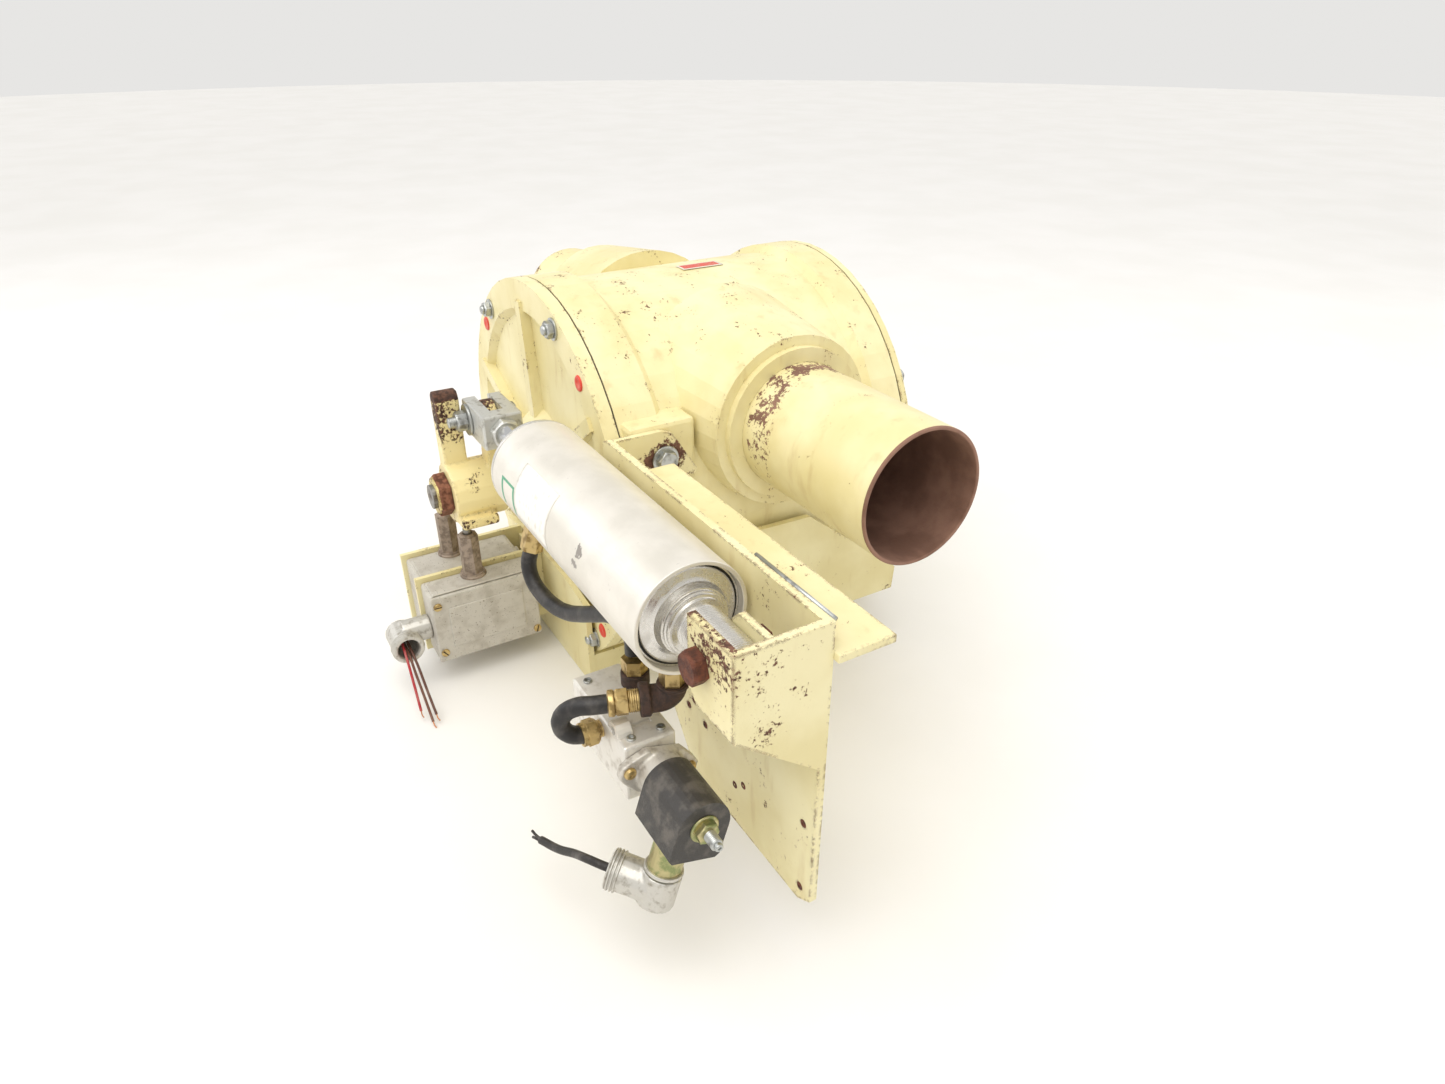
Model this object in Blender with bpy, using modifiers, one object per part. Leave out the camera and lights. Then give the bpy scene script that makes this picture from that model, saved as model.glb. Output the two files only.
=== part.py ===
"""Pneumatic two-way diverter valve: cast drum body, rotary closing shoe, air cylinder,
solenoid valve and two limit switches. Metres, +Z up, floor at z = 0, pipes along X,
drum axis along Y with the crank side at -Y."""
import math

import bmesh
import bpy
from mathutils import Vector

MM = 0.001
GAP = 0.3                      # clearance between touching pieces, mm
TURN = 360.0

# Drum body and covers, mm
AXIS_Z = 195.0                 # height of the drum axis above the floor
COVER_R = 192.4
BARREL_R = 185.0
BORE_R = 172.0
FRONT_SEAM = -153.0            # face between front cover and gasket
REAR_SEAM = 150.0
GASKET_T = 1.0
FLANGE_FRONT_W = 38.0
FLANGE_REAR_W = 31.0
COVER_RIM_T = 13.0
COVER_WEB_T = 5.5
HUB_R = 48.0
HUB_LENGTH = 31.0
RIB_COUNT = 6
RIB_W = 13.0
REAR_COVER_T = 7.0
REAR_HUB_LENGTH = 28.0

# Pipes
PIPE_R = 57.15                 # 4 in pipe
PIPE_WALL = 3.05
PIPE_Z = AXIS_Z + 91.0
PIPE_END = 378.0
OUTLET_END = 300.0
SOCKET_START = 178.0
BOSS_R = 79.0
BOSS_ROOT_R = 96.0
BOSS_END = 204.0
NECK_R = 70.0
NECK_LENGTH = 7.0
LOWER_OUTLET_DEG = 189.5

# Rotor
SHAFT_R = 15.0
SHAFT_REAR = REAR_SEAM + 21.0
BUSH_R = 20.0
SEAL_R = 26.0
SHOE_R = 169.0
SHOE_T = 9.0
SHOE_MID_DEG = 144.5
SHOE_HALF_DEG = 26.0
SHOE_HALF_W = 75.0
ROTOR_ARM_T = 11.0
ROTOR_HUB_R = 31.0

# Crank lever
LEVER_FRONT = -264.0
LEVER_BACK = -212.5
LEVER_HUB_R = 30.0
LEVER_TOP = AXIS_Z + 101.0
TONGUE_W = 20.0
TONGUE_T = 12.0
TONGUE_EYE_R = 16.0
TONGUE_HOLE_R = 9.6
SHAFT_NUT_AF = 38.0
SHAFT_NUT_T = 13.0

# Air cylinder
CYL_Y = -219.0
CYL_Z = AXIS_Z + 77.0
CYL_R = 41.2
CYL_BORE_R = 38.1
CYL_FRONT = 145.0
CYL_END = 412.0
CAP_STEP = 5.0
CAP_LENGTH = 34.0
TAIL_RECESS = 5.0
NOSE_R = 22.0
STUD_R = 16.5
STUD_FLAT = 12.0
STUD_END = 478.0
PISTON_X = 345.0
PISTON_T = 24.0
ROD_PORT_ROLL = 17.6            # the rod end port points down and toward -Y, degrees
ROD_R = 10.0
ROD_TIP_R = 8.0

# Clevis and its pin
PIN_X = 15.0
PIN_R = 5.0
CLEVIS_FRONT = -2.0
CLEVIS_BACK = 60.0
CLEVIS_W = 38.0
CLEVIS_H = 32.0
CLEVIS_SLOT = 13.0
CLEVIS_SLOT_END = 44.0
JAM_NUT_AF = 24.0
JAM_NUT_T = 9.0

# Actuator bracket
SHEET = 6.0
WEB_FRONT = -174.0
WEB_LEFT = 180.0
WEB_RIGHT = 492.0
WEB_TOP = 300.0
WEB_BOTTOM = 55.0
RETURN_FACE = -238.0
RETURN_LEFT = 440.0
RETURN_BOTTOM = 238.0
PIVOT_X = 455.0
PIVOT_R = 6.0
PIVOT_AF = 19.0
INNER_PLATE_T = 5.0
EAR_BACK = -88.0
EAR_BOTTOM = 247.0
LUG_BOLT = (-120.0, 271.0)

# Base cradle
CRADLE_HALF = 112.0
CRADLE_FRONT = -176.0
CRADLE_REAR = 184.0
CRADLE_SIDE_H = 34.0
CRADLE_FRONT_H = 95.0
CRADLE_REAR_H = 60.0
TIE_HALF = 20.0
TIE_T = 6.0

# Limit switches
SWITCH_Y = (-306.0, -197.0)
SWITCH_Z = (27.0, 103.0)
FRONT_BOX_X = (-2.7, 30.0)
SWITCH_COVER_T = 5.0
BRACKET_X = (-63.7, -3.0)
WING_T = 4.7
REAR_BOX_X = (-58.7, -8.3)
GUIDE_AF = 18.0
GUIDE_TOP = 150.0
PLUNGER_R = 4.0
PLUNGER_TOP = 157.0
GUIDE_FRONT_XY = (9.0, -254.0)
GUIDE_REAR_XY = (-46.0, -261.0)

# Solenoid valve
BLOCK_X = (300.0, 392.0)
BLOCK_Y = (-263.0, -223.0)
BLOCK_Z = (120.0, 168.0)
COIL_AXIS = (-240.0, 144.0)    # y, z
COIL_ROLL = 18.0               # the coil hangs turned toward -Y, degrees
COIL_X = (411.0, 461.0)
COIL_R = 20.0
COIL_DROP = 27.0               # flat underside below the coil axis
NIPPLE_X = 434.0
NIPPLE_DROP = 58.0
ELBOW_DROP = 72.0              # centre of the conduit elbow
CABLE_WAY = (-0.695, -0.684, 0.222)
HOSE_R = 6.75

PAINT = (0.80, 0.72, 0.42)
RUST = (0.16, 0.07, 0.04)
ZINC = (0.62, 0.62, 0.60)
ALU = (0.72, 0.71, 0.69)
BRASS = (0.55, 0.42, 0.18)
IRON = (0.14, 0.10, 0.08)
BLACK = (0.025, 0.025, 0.027)
GREY = (0.42, 0.41, 0.39)
STEEL = (0.40, 0.39, 0.37)

for old in list(bpy.data.objects):
    bpy.data.objects.remove(old, do_unlink=True)

PARTS = bpy.data.collections.new("diverter_valve")
CUTTERS = bpy.data.collections.new("cutters")
bpy.context.scene.collection.children.link(PARTS)
bpy.context.scene.collection.children.link(CUTTERS)


# ---------------------------------------------------------------- tools
def material(name, colour, metallic=0.0, roughness=0.5):
    mat = bpy.data.materials.get(name) or bpy.data.materials.new(name)
    mat.use_nodes = True
    bsdf = mat.node_tree.nodes["Principled BSDF"]
    bsdf.inputs["Base Color"].default_value = (*colour, 1.0)
    bsdf.inputs["Metallic"].default_value = metallic
    bsdf.inputs["Roughness"].default_value = roughness
    return mat


def keep(obj, colour, metallic=0.0, roughness=0.5):
    """Make an object a part, with its own material."""
    obj.data.materials.clear()
    obj.data.materials.append(material("mat_" + obj.name, colour, metallic, roughness))
    for coll in list(obj.users_collection):
        coll.objects.unlink(obj)
    PARTS.objects.link(obj)
    obj.data.shade_smooth()
    obj.data.set_sharp_from_angle(angle=math.radians(32))
    return obj


def mesh_object(name, mesh, location=(0, 0, 0)):
    obj = bpy.data.objects.new(name, mesh)
    obj.location = Vector(location) * MM
    CUTTERS.objects.link(obj)
    return obj


def box(name, x, y, z, bevel=0.0):
    """A block between the given limits, in mm, with optional rounded edges."""
    mesh = bpy.data.meshes.new(name)
    size = [abs(v[1] - v[0]) * MM for v in (x, y, z)]
    bm = bmesh.new()
    bmesh.ops.create_cube(bm, size=1.0)
    bmesh.ops.scale(bm, vec=size, verts=bm.verts)
    bm.to_mesh(mesh)
    bm.free()
    obj = mesh_object(name, mesh, [sum(v) / 2 for v in (x, y, z)])
    if bevel:
        rounding = obj.modifiers.new("edges", "BEVEL")
        rounding.width = bevel * MM
        rounding.segments = 2
        rounding.limit_method = "ANGLE"
    return obj


def turned(name, profile, axis="Y", at=(0, 0, 0), steps=48, tilt=0.0, phase=0.0):
    """Turn a profile of (radius, distance along the axis) points about an axis."""
    closed = all(r > 0 for r, _ in profile)
    loop = list(profile)
    area = sum(a[0] * b[1] - b[0] * a[1] for a, b in zip(loop, loop[1:] + loop[:1]))
    if area > 0:
        loop.reverse()
    if not closed:
        first = next(i for i, p in enumerate(loop) if p[0] == 0 and loop[i - 1][0] == 0)
        loop = loop[first:] + loop[:first]
    count = len(loop)
    edges = [(i, i + 1) for i in range(count - 1)]
    if closed:
        edges.append((count - 1, 0))
    mesh = bpy.data.meshes.new(name)
    seam = math.radians(phase)
    mesh.from_pydata([(r * MM * math.cos(seam), r * MM * math.sin(seam), h * MM) for r, h in loop],
                     edges, [])
    obj = mesh_object(name, mesh, at)
    turn = {"X": (0, math.radians(90), 0), "Y": (math.radians(-90), 0, 0), "Z": (0, 0, 0)}
    obj.rotation_euler = turn[axis]
    if tilt:
        obj.rotation_euler = (0, math.radians(90 - tilt), 0)
    screw = obj.modifiers.new("turn", "SCREW")
    screw.steps = steps
    screw.render_steps = steps
    screw.use_merge_vertices = True
    screw.merge_threshold = 0.00001
    return obj


def rod(name, radius, lo, hi, axis="Y", at=(0, 0, 0), steps=16, bore=0.0, tilt=0.0):
    """A round bar, or a tube when it has a bore."""
    profile = [(bore, lo), (radius, lo), (radius, hi), (bore, hi)]
    return turned(name, profile, axis, at, steps, tilt)


def hexagon(name, across, lo, hi, axis="Y", at=(0, 0, 0), bore=0.0):
    """A hexagon bar with an optional bore."""
    radius = across / 2 / math.cos(math.radians(30))
    obj = rod(name, radius, lo, hi, axis, at, 6)
    if bore:
        length = hi - lo
        cut(obj, rod(name + "_bore", bore, lo - length, hi + length, axis, at, 16))
    return obj


def plate(name, outline, lo, hi, plane="XZ"):
    """A flat sheet from an outline in the named plane, between two levels."""
    curve = bpy.data.curves.new(name, "CURVE")
    curve.dimensions = "2D"
    curve.fill_mode = "BOTH"
    curve.extrude = abs(hi - lo) / 2 * MM
    spline = curve.splines.new("POLY")
    spline.points.add(len(outline) - 1)
    for point, (a, b) in zip(spline.points, outline):
        point.co = (a * MM, b * MM, 0, 1)
    spline.use_cyclic_u = True
    middle = (lo + hi) / 2
    place = {
        "XZ": ((0, middle, 0), (math.radians(90), 0, 0)),
        "YZ": ((middle, 0, 0), (math.radians(90), 0, math.radians(90))),
        "XY": ((0, 0, middle), (0, 0, 0)),
    }[plane]
    guide = bpy.data.objects.new(name + "_outline", curve)
    guide.location = Vector(place[0]) * MM
    guide.rotation_euler = place[1]
    return solid_from_curve(name, guide)


def solid_from_curve(name, guide):
    """Turn a curve object into a welded mesh object."""
    CUTTERS.objects.link(guide)
    bpy.context.view_layer.update()
    graph = bpy.context.evaluated_depsgraph_get()
    mesh = bpy.data.meshes.new_from_object(guide.evaluated_get(graph))
    mesh.name = name
    bm = bmesh.new()
    bm.from_mesh(mesh)
    bmesh.ops.remove_doubles(bm, verts=bm.verts, dist=0.00001)
    bmesh.ops.recalc_face_normals(bm, faces=bm.faces)
    bm.to_mesh(mesh)
    bm.free()
    obj = mesh_object(name, mesh)
    obj.matrix_world = guide.matrix_world.copy()
    bpy.data.objects.remove(guide)
    return obj


def smooth_route(points, spacing):
    """Read evenly spaced points from a smooth curve through a route's own points."""
    knots = [Vector(p) for p in points]
    ends = [knots[0] * 2 - knots[1]] + knots + [knots[-1] * 2 - knots[-2]]
    dense = []
    for a, b, c, d in zip(ends, ends[1:], ends[2:], ends[3:]):
        for step in range(24):
            t = step / 24
            bend = (a * -1 + b * 3 - c * 3 + d) * t ** 3 + (a * 2 - b * 5 + c * 4 - d) * t ** 2
            dense.append((bend + (c - a) * t + b * 2) / 2)
    dense.append(knots[-1])
    length = sum((q - p).length for p, q in zip(dense, dense[1:]))
    count = max(2, round(length / spacing))
    wanted = [length * i / count for i in range(count + 1)]
    out, run, i = [dense[0]], 0.0, 0
    for target in wanted[1:-1]:
        while run + (dense[i + 1] - dense[i]).length < target:
            run += (dense[i + 1] - dense[i]).length
            i += 1
        share = (target - run) / (dense[i + 1] - dense[i]).length
        out.append(dense[i].lerp(dense[i + 1], share))
    return out + [dense[-1]]


def cord(name, points, radius, colour, spacing=None, roughness=0.5):
    """A plain tube along a free route."""
    curve = bpy.data.curves.new(name, "CURVE")
    curve.dimensions = "3D"
    curve.bevel_depth = radius * MM
    curve.bevel_resolution = 2
    curve.use_fill_caps = True
    route = smooth_route(points, spacing or radius * 5)
    spline = curve.splines.new("POLY")
    spline.points.add(len(route) - 1)
    for point, place in zip(spline.points, route):
        point.co = (*(place * MM), 1)
    guide = bpy.data.objects.new(name + "_route", curve)
    return keep(solid_from_curve(name, guide), colour, 0.0, roughness)


def combine(obj, other, how):
    mod = obj.modifiers.new(other.name, "BOOLEAN")
    mod.operation = how
    mod.solver = "EXACT"
    mod.object = other
    other.hide_render = True
    other.display_type = "WIRE"
    return obj


def cut(obj, *tools):
    for tool in tools:
        combine(obj, tool, "DIFFERENCE")
    return obj


def fuse(obj, *pieces):
    for piece in pieces:
        combine(obj, piece, "UNION")
    return obj


def arc(cx, cz, radius, start, end, count=8):
    """Points of an arc, angles in degrees."""
    angles = [math.radians(start + (end - start) * i / count) for i in range(count + 1)]
    return [(cx + radius * math.cos(a), cz + radius * math.sin(a)) for a in angles]


def around(angle):
    """Unit vector in the XZ plane."""
    return math.cos(math.radians(angle)), math.sin(math.radians(angle))


DRUM = (0, 0, AXIS_Z)
PIPE_AT = (0, 0, PIPE_Z)
CYL_AT = (0, CYL_Y, CYL_Z)


# ---------------------------------------------------------------- body
def make_valve_body():
    front = FRONT_SEAM + GASKET_T + 2 * GAP
    rear = REAR_SEAM - GASKET_T - 2 * GAP
    slope = COVER_R - BARREL_R
    body = turned("valve_body", [
        (BORE_R, front), (COVER_R, front), (COVER_R, front + FLANGE_FRONT_W),
        (BARREL_R, front + FLANGE_FRONT_W + slope), (BARREL_R, rear - FLANGE_REAR_W - slope),
        (COVER_R, rear - FLANGE_REAR_W), (COVER_R, rear), (BORE_R, rear)], "Y", DRUM, 48)
    boss = [(0, 80), (BOSS_ROOT_R, 80), (BOSS_R, BOSS_END), (NECK_R, BOSS_END),
            (NECK_R, BOSS_END + NECK_LENGTH), (0, BOSS_END + NECK_LENGTH)]
    mirrored = [(r, -h) for r, h in boss]
    inner = PIPE_R - PIPE_WALL
    outer = PIPE_R + GAP
    step = SOCKET_START - GAP
    port = [(0, 20), (inner, 20), (inner, step), (outer, step), (outer, 260), (0, 260)]
    lug_z = LUG_BOLT[1]
    fuse(body,
         turned("boss_inlet", boss, "X", PIPE_AT, 36),
         turned("boss_outlet", mirrored, "X", PIPE_AT, 36),
         turned("boss_lower", boss, "X", DRUM, 36, tilt=LOWER_OUTLET_DEG),
         box("bracket_lug", (110, WEB_LEFT - GAP), (-149, -86), (lug_z - 36, lug_z + 30), 4),
         box("plate_pad", (140, 190 - GAP), (10, 70), (110, 150), 3))
    cut(body,
        rod("chamber", BORE_R, -240, 240, "Y", DRUM, 48),
        turned("port_inlet", port, "X", PIPE_AT, 36, phase=3),
        turned("port_outlet", [(r, -h) for r, h in port], "X", PIPE_AT, 36, phase=4),
        turned("port_lower", port, "X", DRUM, 36, tilt=LOWER_OUTLET_DEG, phase=3),
        rod("lug_hole", PIN_R + GAP, 150, 200, "X", (0, *LUG_BOLT), 16))
    keep(body, PAINT, 0.0, 0.55)


def make_pipes():
    inner = PIPE_R - PIPE_WALL
    inlet = rod("inlet_pipe", PIPE_R, SOCKET_START, PIPE_END, "X", PIPE_AT, 36, inner)
    outlet = rod("outlet_pipe", PIPE_R, -OUTLET_END, -SOCKET_START, "X", PIPE_AT, 36, inner)
    lower = rod("lower_outlet_pipe", PIPE_R, SOCKET_START, OUTLET_END, "X", DRUM, 36, inner,
                LOWER_OUTLET_DEG)
    for pipe in (inlet, outlet, lower):
        keep(pipe, PAINT, 0.0, 0.5)


def make_covers():
    rim_face = FRONT_SEAM - COVER_RIM_T
    web_face = FRONT_SEAM - COVER_WEB_T
    hub_face = FRONT_SEAM - HUB_LENGTH
    bore = BUSH_R + GAP
    front = turned("front_cover", [
        (bore, FRONT_SEAM), (COVER_R, FRONT_SEAM), (COVER_R, rim_face), (164, rim_face),
        (158, web_face), (66, web_face), (HUB_R, hub_face), (bore, hub_face)], "Y", DRUM, 48)
    for k in range(RIB_COUNT):
        rib = box("rib_%d" % k, (38, 172), (rim_face - 3, FRONT_SEAM - 1), (-RIB_W / 2, RIB_W / 2))
        angle = math.radians(36 + k * TURN / RIB_COUNT)
        offset = (38 + 172) / 2
        rib.location = Vector((offset * math.cos(angle), rib.location.y / MM,
                               AXIS_Z + offset * math.sin(angle))) * MM
        rib.rotation_euler = (0, -angle, 0)
        fuse(front, rib)
    cut(front, rod("front_cover_bore", bore, hub_face - 20, FRONT_SEAM + 20, "Y", DRUM, 16))
    keep(front, PAINT, 0.0, 0.55)
    outer = REAR_SEAM + REAR_COVER_T
    hub_end = REAR_SEAM + REAR_HUB_LENGTH
    rear = turned("rear_cover", [
        (0, hub_end), (38, hub_end), (HUB_R, outer + 8), (164, outer + 3), (170, outer),
        (COVER_R, outer), (COVER_R, REAR_SEAM), (bore, REAR_SEAM),
        (bore, SHAFT_REAR + 1), (0, SHAFT_REAR + 1)], "Y", DRUM, 48)
    keep(rear, PAINT, 0.0, 0.55)
    for name, start in (("front_gasket", FRONT_SEAM + GAP), ("rear_gasket", REAR_SEAM - GAP - GASKET_T)):
        ring = rod(name, COVER_R - 0.8, start, start + GASKET_T, "Y", DRUM, 48, BORE_R + 1)
        keep(ring, (0.05, 0.05, 0.05), 0.0, 0.8)


def make_rotor():
    keep(rod("front_bush", BUSH_R, FRONT_SEAM - HUB_LENGTH, FRONT_SEAM, "Y", DRUM, 24,
             SHAFT_R + GAP), BRASS, 1.0, 0.4)
    keep(rod("rear_bush", BUSH_R, REAR_SEAM, SHAFT_REAR + 1 - GAP, "Y", DRUM, 24,
             SHAFT_R + GAP), BRASS, 1.0, 0.4)
    keep(rod("shaft_seal", SEAL_R, FRONT_SEAM - HUB_LENGTH - 6, FRONT_SEAM - HUB_LENGTH - GAP,
             "Y", DRUM, 24, SHAFT_R + GAP), BLACK, 0.0, 0.7)
    end = LEVER_FRONT - GAP
    tip = SHAFT_R - 3
    keep(turned("rotor_shaft", [
        (0, SHAFT_REAR), (SHAFT_R, SHAFT_REAR), (SHAFT_R, end), (tip, end),
        (tip, end - SHAFT_NUT_T - 4), (0, end - SHAFT_NUT_T - 4)], "Y", DRUM, 24), STEEL, 1.0, 0.4)
    keep(hexagon("shaft_nut", SHAFT_NUT_AF, end - SHAFT_NUT_T, end - GAP, "Y", DRUM, tip + GAP),
         RUST, 0.3, 0.8)
    outline = arc(0, AXIS_Z, SHOE_R, SHOE_MID_DEG - SHOE_HALF_DEG, SHOE_MID_DEG + SHOE_HALF_DEG, 14)
    outline += arc(0, AXIS_Z, SHOE_R - SHOE_T, SHOE_MID_DEG + SHOE_HALF_DEG,
                   SHOE_MID_DEG - SHOE_HALF_DEG, 14)
    shoe = plate("diverter_shoe", outline, -SHOE_HALF_W, SHOE_HALF_W)
    reach = arc(0, AXIS_Z, SHOE_R - SHOE_T / 2, SHOE_MID_DEG - 18, SHOE_MID_DEG + 18, 8)
    root = arc(0, AXIS_Z, ROTOR_HUB_R - 4, SHOE_MID_DEG + 70, SHOE_MID_DEG + 290, 10)
    inner = SHOE_HALF_W - ROTOR_ARM_T
    fuse(shoe,
         plate("rotor_arm_front", reach + root, -SHOE_HALF_W + 0.5, -inner),
         plate("rotor_arm_rear", reach + root, inner, SHOE_HALF_W - 0.5),
         rod("rotor_hub", ROTOR_HUB_R, -SHOE_HALF_W, SHOE_HALF_W, "Y", DRUM, 16))
    cut(shoe, rod("rotor_bore", SHAFT_R + GAP, -120, 120, "Y", DRUM, 16))
    keep(shoe, STEEL, 0.8, 0.5)


# ---------------------------------------------------------------- crank
def make_lever():
    lever = rod("crank_lever", LEVER_HUB_R, LEVER_FRONT, LEVER_BACK, "Y", DRUM, 16)
    arm_back = -241.0
    arm = plate("lever_arm", [(-16, AXIS_Z), (2, AXIS_Z), (2, LEVER_TOP - 6), (-2, LEVER_TOP),
                              (-12, LEVER_TOP), (-16, LEVER_TOP - 4)], LEVER_FRONT + 0.5, arm_back)
    pin_z = CYL_Z
    lean = math.degrees(math.atan2(pin_z - AXIS_Z, PIN_X))
    side_x, side_z = around(lean - 90)
    half = TONGUE_W / 2
    tongue = [(-half * side_x, AXIS_Z - half * side_z)]
    tongue += [(half * side_x, AXIS_Z + half * side_z)]
    tongue += arc(PIN_X, pin_z, TONGUE_EYE_R, lean - 52, lean + 52, 10)
    blade = plate("lever_tongue", tongue, CYL_Y - TONGUE_T / 2, CYL_Y + TONGUE_T / 2)
    foot = box("lever_foot", (4, 36), (LEVER_FRONT + 1, LEVER_BACK - 14), (168, 178), 2)
    fuse(lever, arm, blade, foot)
    cut(lever,
        rod("lever_bore", SHAFT_R + GAP, -300, -180, "Y", DRUM, 24),
        rod("tongue_hole", TONGUE_HOLE_R, -260, -190, "Y", (PIN_X, 0, pin_z), 16))
    keep(lever, PAINT, 0.0, 0.6)


def make_clevis():
    half_w = CLEVIS_W / 2
    half_h = CLEVIS_H / 2
    clevis = box("rod_clevis", (CLEVIS_FRONT, CLEVIS_BACK), (CYL_Y - half_w, CYL_Y + half_w),
                 (CYL_Z - half_h, CYL_Z + half_h), 2)
    slot = CLEVIS_SLOT / 2
    pin_at = (PIN_X, 0, CYL_Z)
    cut(clevis,
        box("clevis_slot", (CLEVIS_FRONT - 20, CLEVIS_SLOT_END), (CYL_Y - slot, CYL_Y + slot),
            (CYL_Z - 60, CYL_Z + 60)),
        rod("clevis_holes", PIN_R + GAP, -270, -170, "Y", pin_at, 20),
        rod("clevis_thread", ROD_TIP_R + GAP, CLEVIS_SLOT_END + 4, 90, "X", CYL_AT, 16))
    keep(clevis, ZINC, 1.0, 0.35)
    front = CYL_Y - half_w
    back = CYL_Y + half_w
    pin = rod("clevis_pin", PIN_R, front - 18, back + 2, "Y", pin_at, 16)
    fuse(pin, hexagon("pin_head", 16, back + GAP, back + 7, "Y", pin_at))
    keep(pin, ZINC, 1.0, 0.35)
    washer = rod("clevis_washer", 15, front - 2.6, front - GAP, "Y", pin_at, 28, PIN_R + GAP)
    keep(washer, ZINC, 1.0, 0.3)
    keep(hexagon("clevis_nut", 17, front - 13, front - 2.9, "Y", pin_at, PIN_R + GAP), ZINC, 1.0, 0.35)
    keep(hexagon("rod_jam_nut", JAM_NUT_AF, CLEVIS_BACK + GAP, CLEVIS_BACK + GAP + JAM_NUT_T, "X",
                 CYL_AT, ROD_TIP_R + GAP), ZINC, 1.0, 0.35)


# ---------------------------------------------------------------- air cylinder
def make_cylinder():
    tip = CLEVIS_SLOT_END + 5
    shoulder = CLEVIS_BACK + JAM_NUT_T + 3
    keep(turned("piston_rod", [
        (0, tip), (ROD_TIP_R, tip), (ROD_TIP_R, shoulder), (ROD_R, shoulder),
        (ROD_R, PISTON_X - GAP), (ROD_TIP_R, PISTON_X - GAP), (ROD_TIP_R, PISTON_X + PISTON_T),
        (0, PISTON_X + PISTON_T)], "X", CYL_AT, 24), ZINC, 1.0, 0.15)
    keep(rod("piston", CYL_BORE_R - GAP, PISTON_X, PISTON_X + PISTON_T, "X", CYL_AT, 28,
             ROD_TIP_R + GAP), ALU, 1.0, 0.4)
    tube_start = CYL_FRONT + CAP_STEP
    ports = (("rod_end_fitting", tube_start + 15, -69.0, math.radians(-ROD_PORT_ROLL)),
             ("tail_bushing", CYL_END - 30, -69.0, 0.0))
    tube = rod("cylinder_tube", CYL_R, tube_start, CYL_END, "X", CYL_AT, 36, CYL_BORE_R)
    for name, x, _, roll in ports:
        cutter = rod(name + "_port", 8.3, -60, -20, "Z", (x, CYL_Y, CYL_Z), 16)
        cutter.rotation_euler = (roll, 0, 0)
        cut(tube, cutter)
    keep(tube, ALU, 1.0, 0.38)
    fit = CYL_BORE_R - GAP
    front_cap = turned("cylinder_front_cap", [
        (ROD_R + GAP, CYL_FRONT), (CYL_R, CYL_FRONT), (CYL_R, tube_start - GAP),
        (fit, tube_start - GAP), (fit, CYL_FRONT + CAP_LENGTH), (ROD_R + GAP, CYL_FRONT + CAP_LENGTH)],
        "X", CYL_AT, 36)
    keep(front_cap, ALU, 1.0, 0.4)
    cap_in = CYL_END - CAP_LENGTH - TAIL_RECESS
    cap_out = CYL_END - TAIL_RECESS
    tail = turned("cylinder_tail_cap", [
        (0, cap_in), (fit, cap_in), (fit, cap_out), (NOSE_R + 2, cap_out), (NOSE_R, CYL_END + 3),
        (NOSE_R - 3, CYL_END + 7), (STUD_R, CYL_END + 7), (STUD_R, STUD_END), (0, STUD_END)],
        "X", CYL_AT, 36)
    for side in (-1, 1):
        y = sorted((CYL_Y + side * STUD_FLAT, CYL_Y + side * 40))
        cut(tail, box("stud_flat_%d" % side, (CYL_END + 24, STUD_END + 10), y, (CYL_Z - 40, CYL_Z + 40)))
    cut(tail, rod("stud_hole", PIVOT_R + GAP, CYL_Y - 50, CYL_Y + 50, "Y", (PIVOT_X, 0, CYL_Z), 16))
    keep(tail, ALU, 1.0, 0.3)
    for name, x, low, roll in ports:
        at = (x, CYL_Y, CYL_Z)
        stem = rod(name, 8.0, low + 6, -CYL_BORE_R - 0.6, "Z", at, 16)
        stem.rotation_euler = (roll, 0, 0)
        hexed = hexagon(name + "_hex", 17, low, -CYL_R - GAP - 5, "Z", at)
        hexed.rotation_euler = (roll, 0, 0)
        fuse(stem, hexed)
        keep(stem, BRASS, 1.0, 0.4)


def make_tail_pivot():
    at = (PIVOT_X, 0, CYL_Z)
    inner_far = CYL_Y + STUD_FLAT + 1 + INNER_PLATE_T
    bolt = rod("tail_pivot_bolt", PIVOT_R, RETURN_FACE - 4, inner_far + 12, "Y", at, 16)
    fuse(bolt, hexagon("pivot_head", PIVOT_AF, RETURN_FACE - 9, RETURN_FACE - GAP, "Y", at))
    keep(bolt, RUST, 0.3, 0.8)
    keep(hexagon("tail_pivot_nut", PIVOT_AF, inner_far + GAP, inner_far + 10, "Y", at,
                 PIVOT_R + GAP), RUST, 0.3, 0.7)
    inner = plate("inner_clevis_plate", [
        (RETURN_LEFT - 2, CYL_Z - 17), (WEB_RIGHT - SHEET - GAP, CYL_Z - 17),
        (WEB_RIGHT - SHEET - GAP, CYL_Z + 20), (RETURN_LEFT + 6, CYL_Z + 20),
        (RETURN_LEFT - 2, CYL_Z + 12)], inner_far - INNER_PLATE_T, inner_far)
    cut(inner, rod("inner_plate_hole", PIVOT_R + GAP, -230, -180, "Y", at, 16))
    keep(inner, PAINT, 0.0, 0.55)


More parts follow.
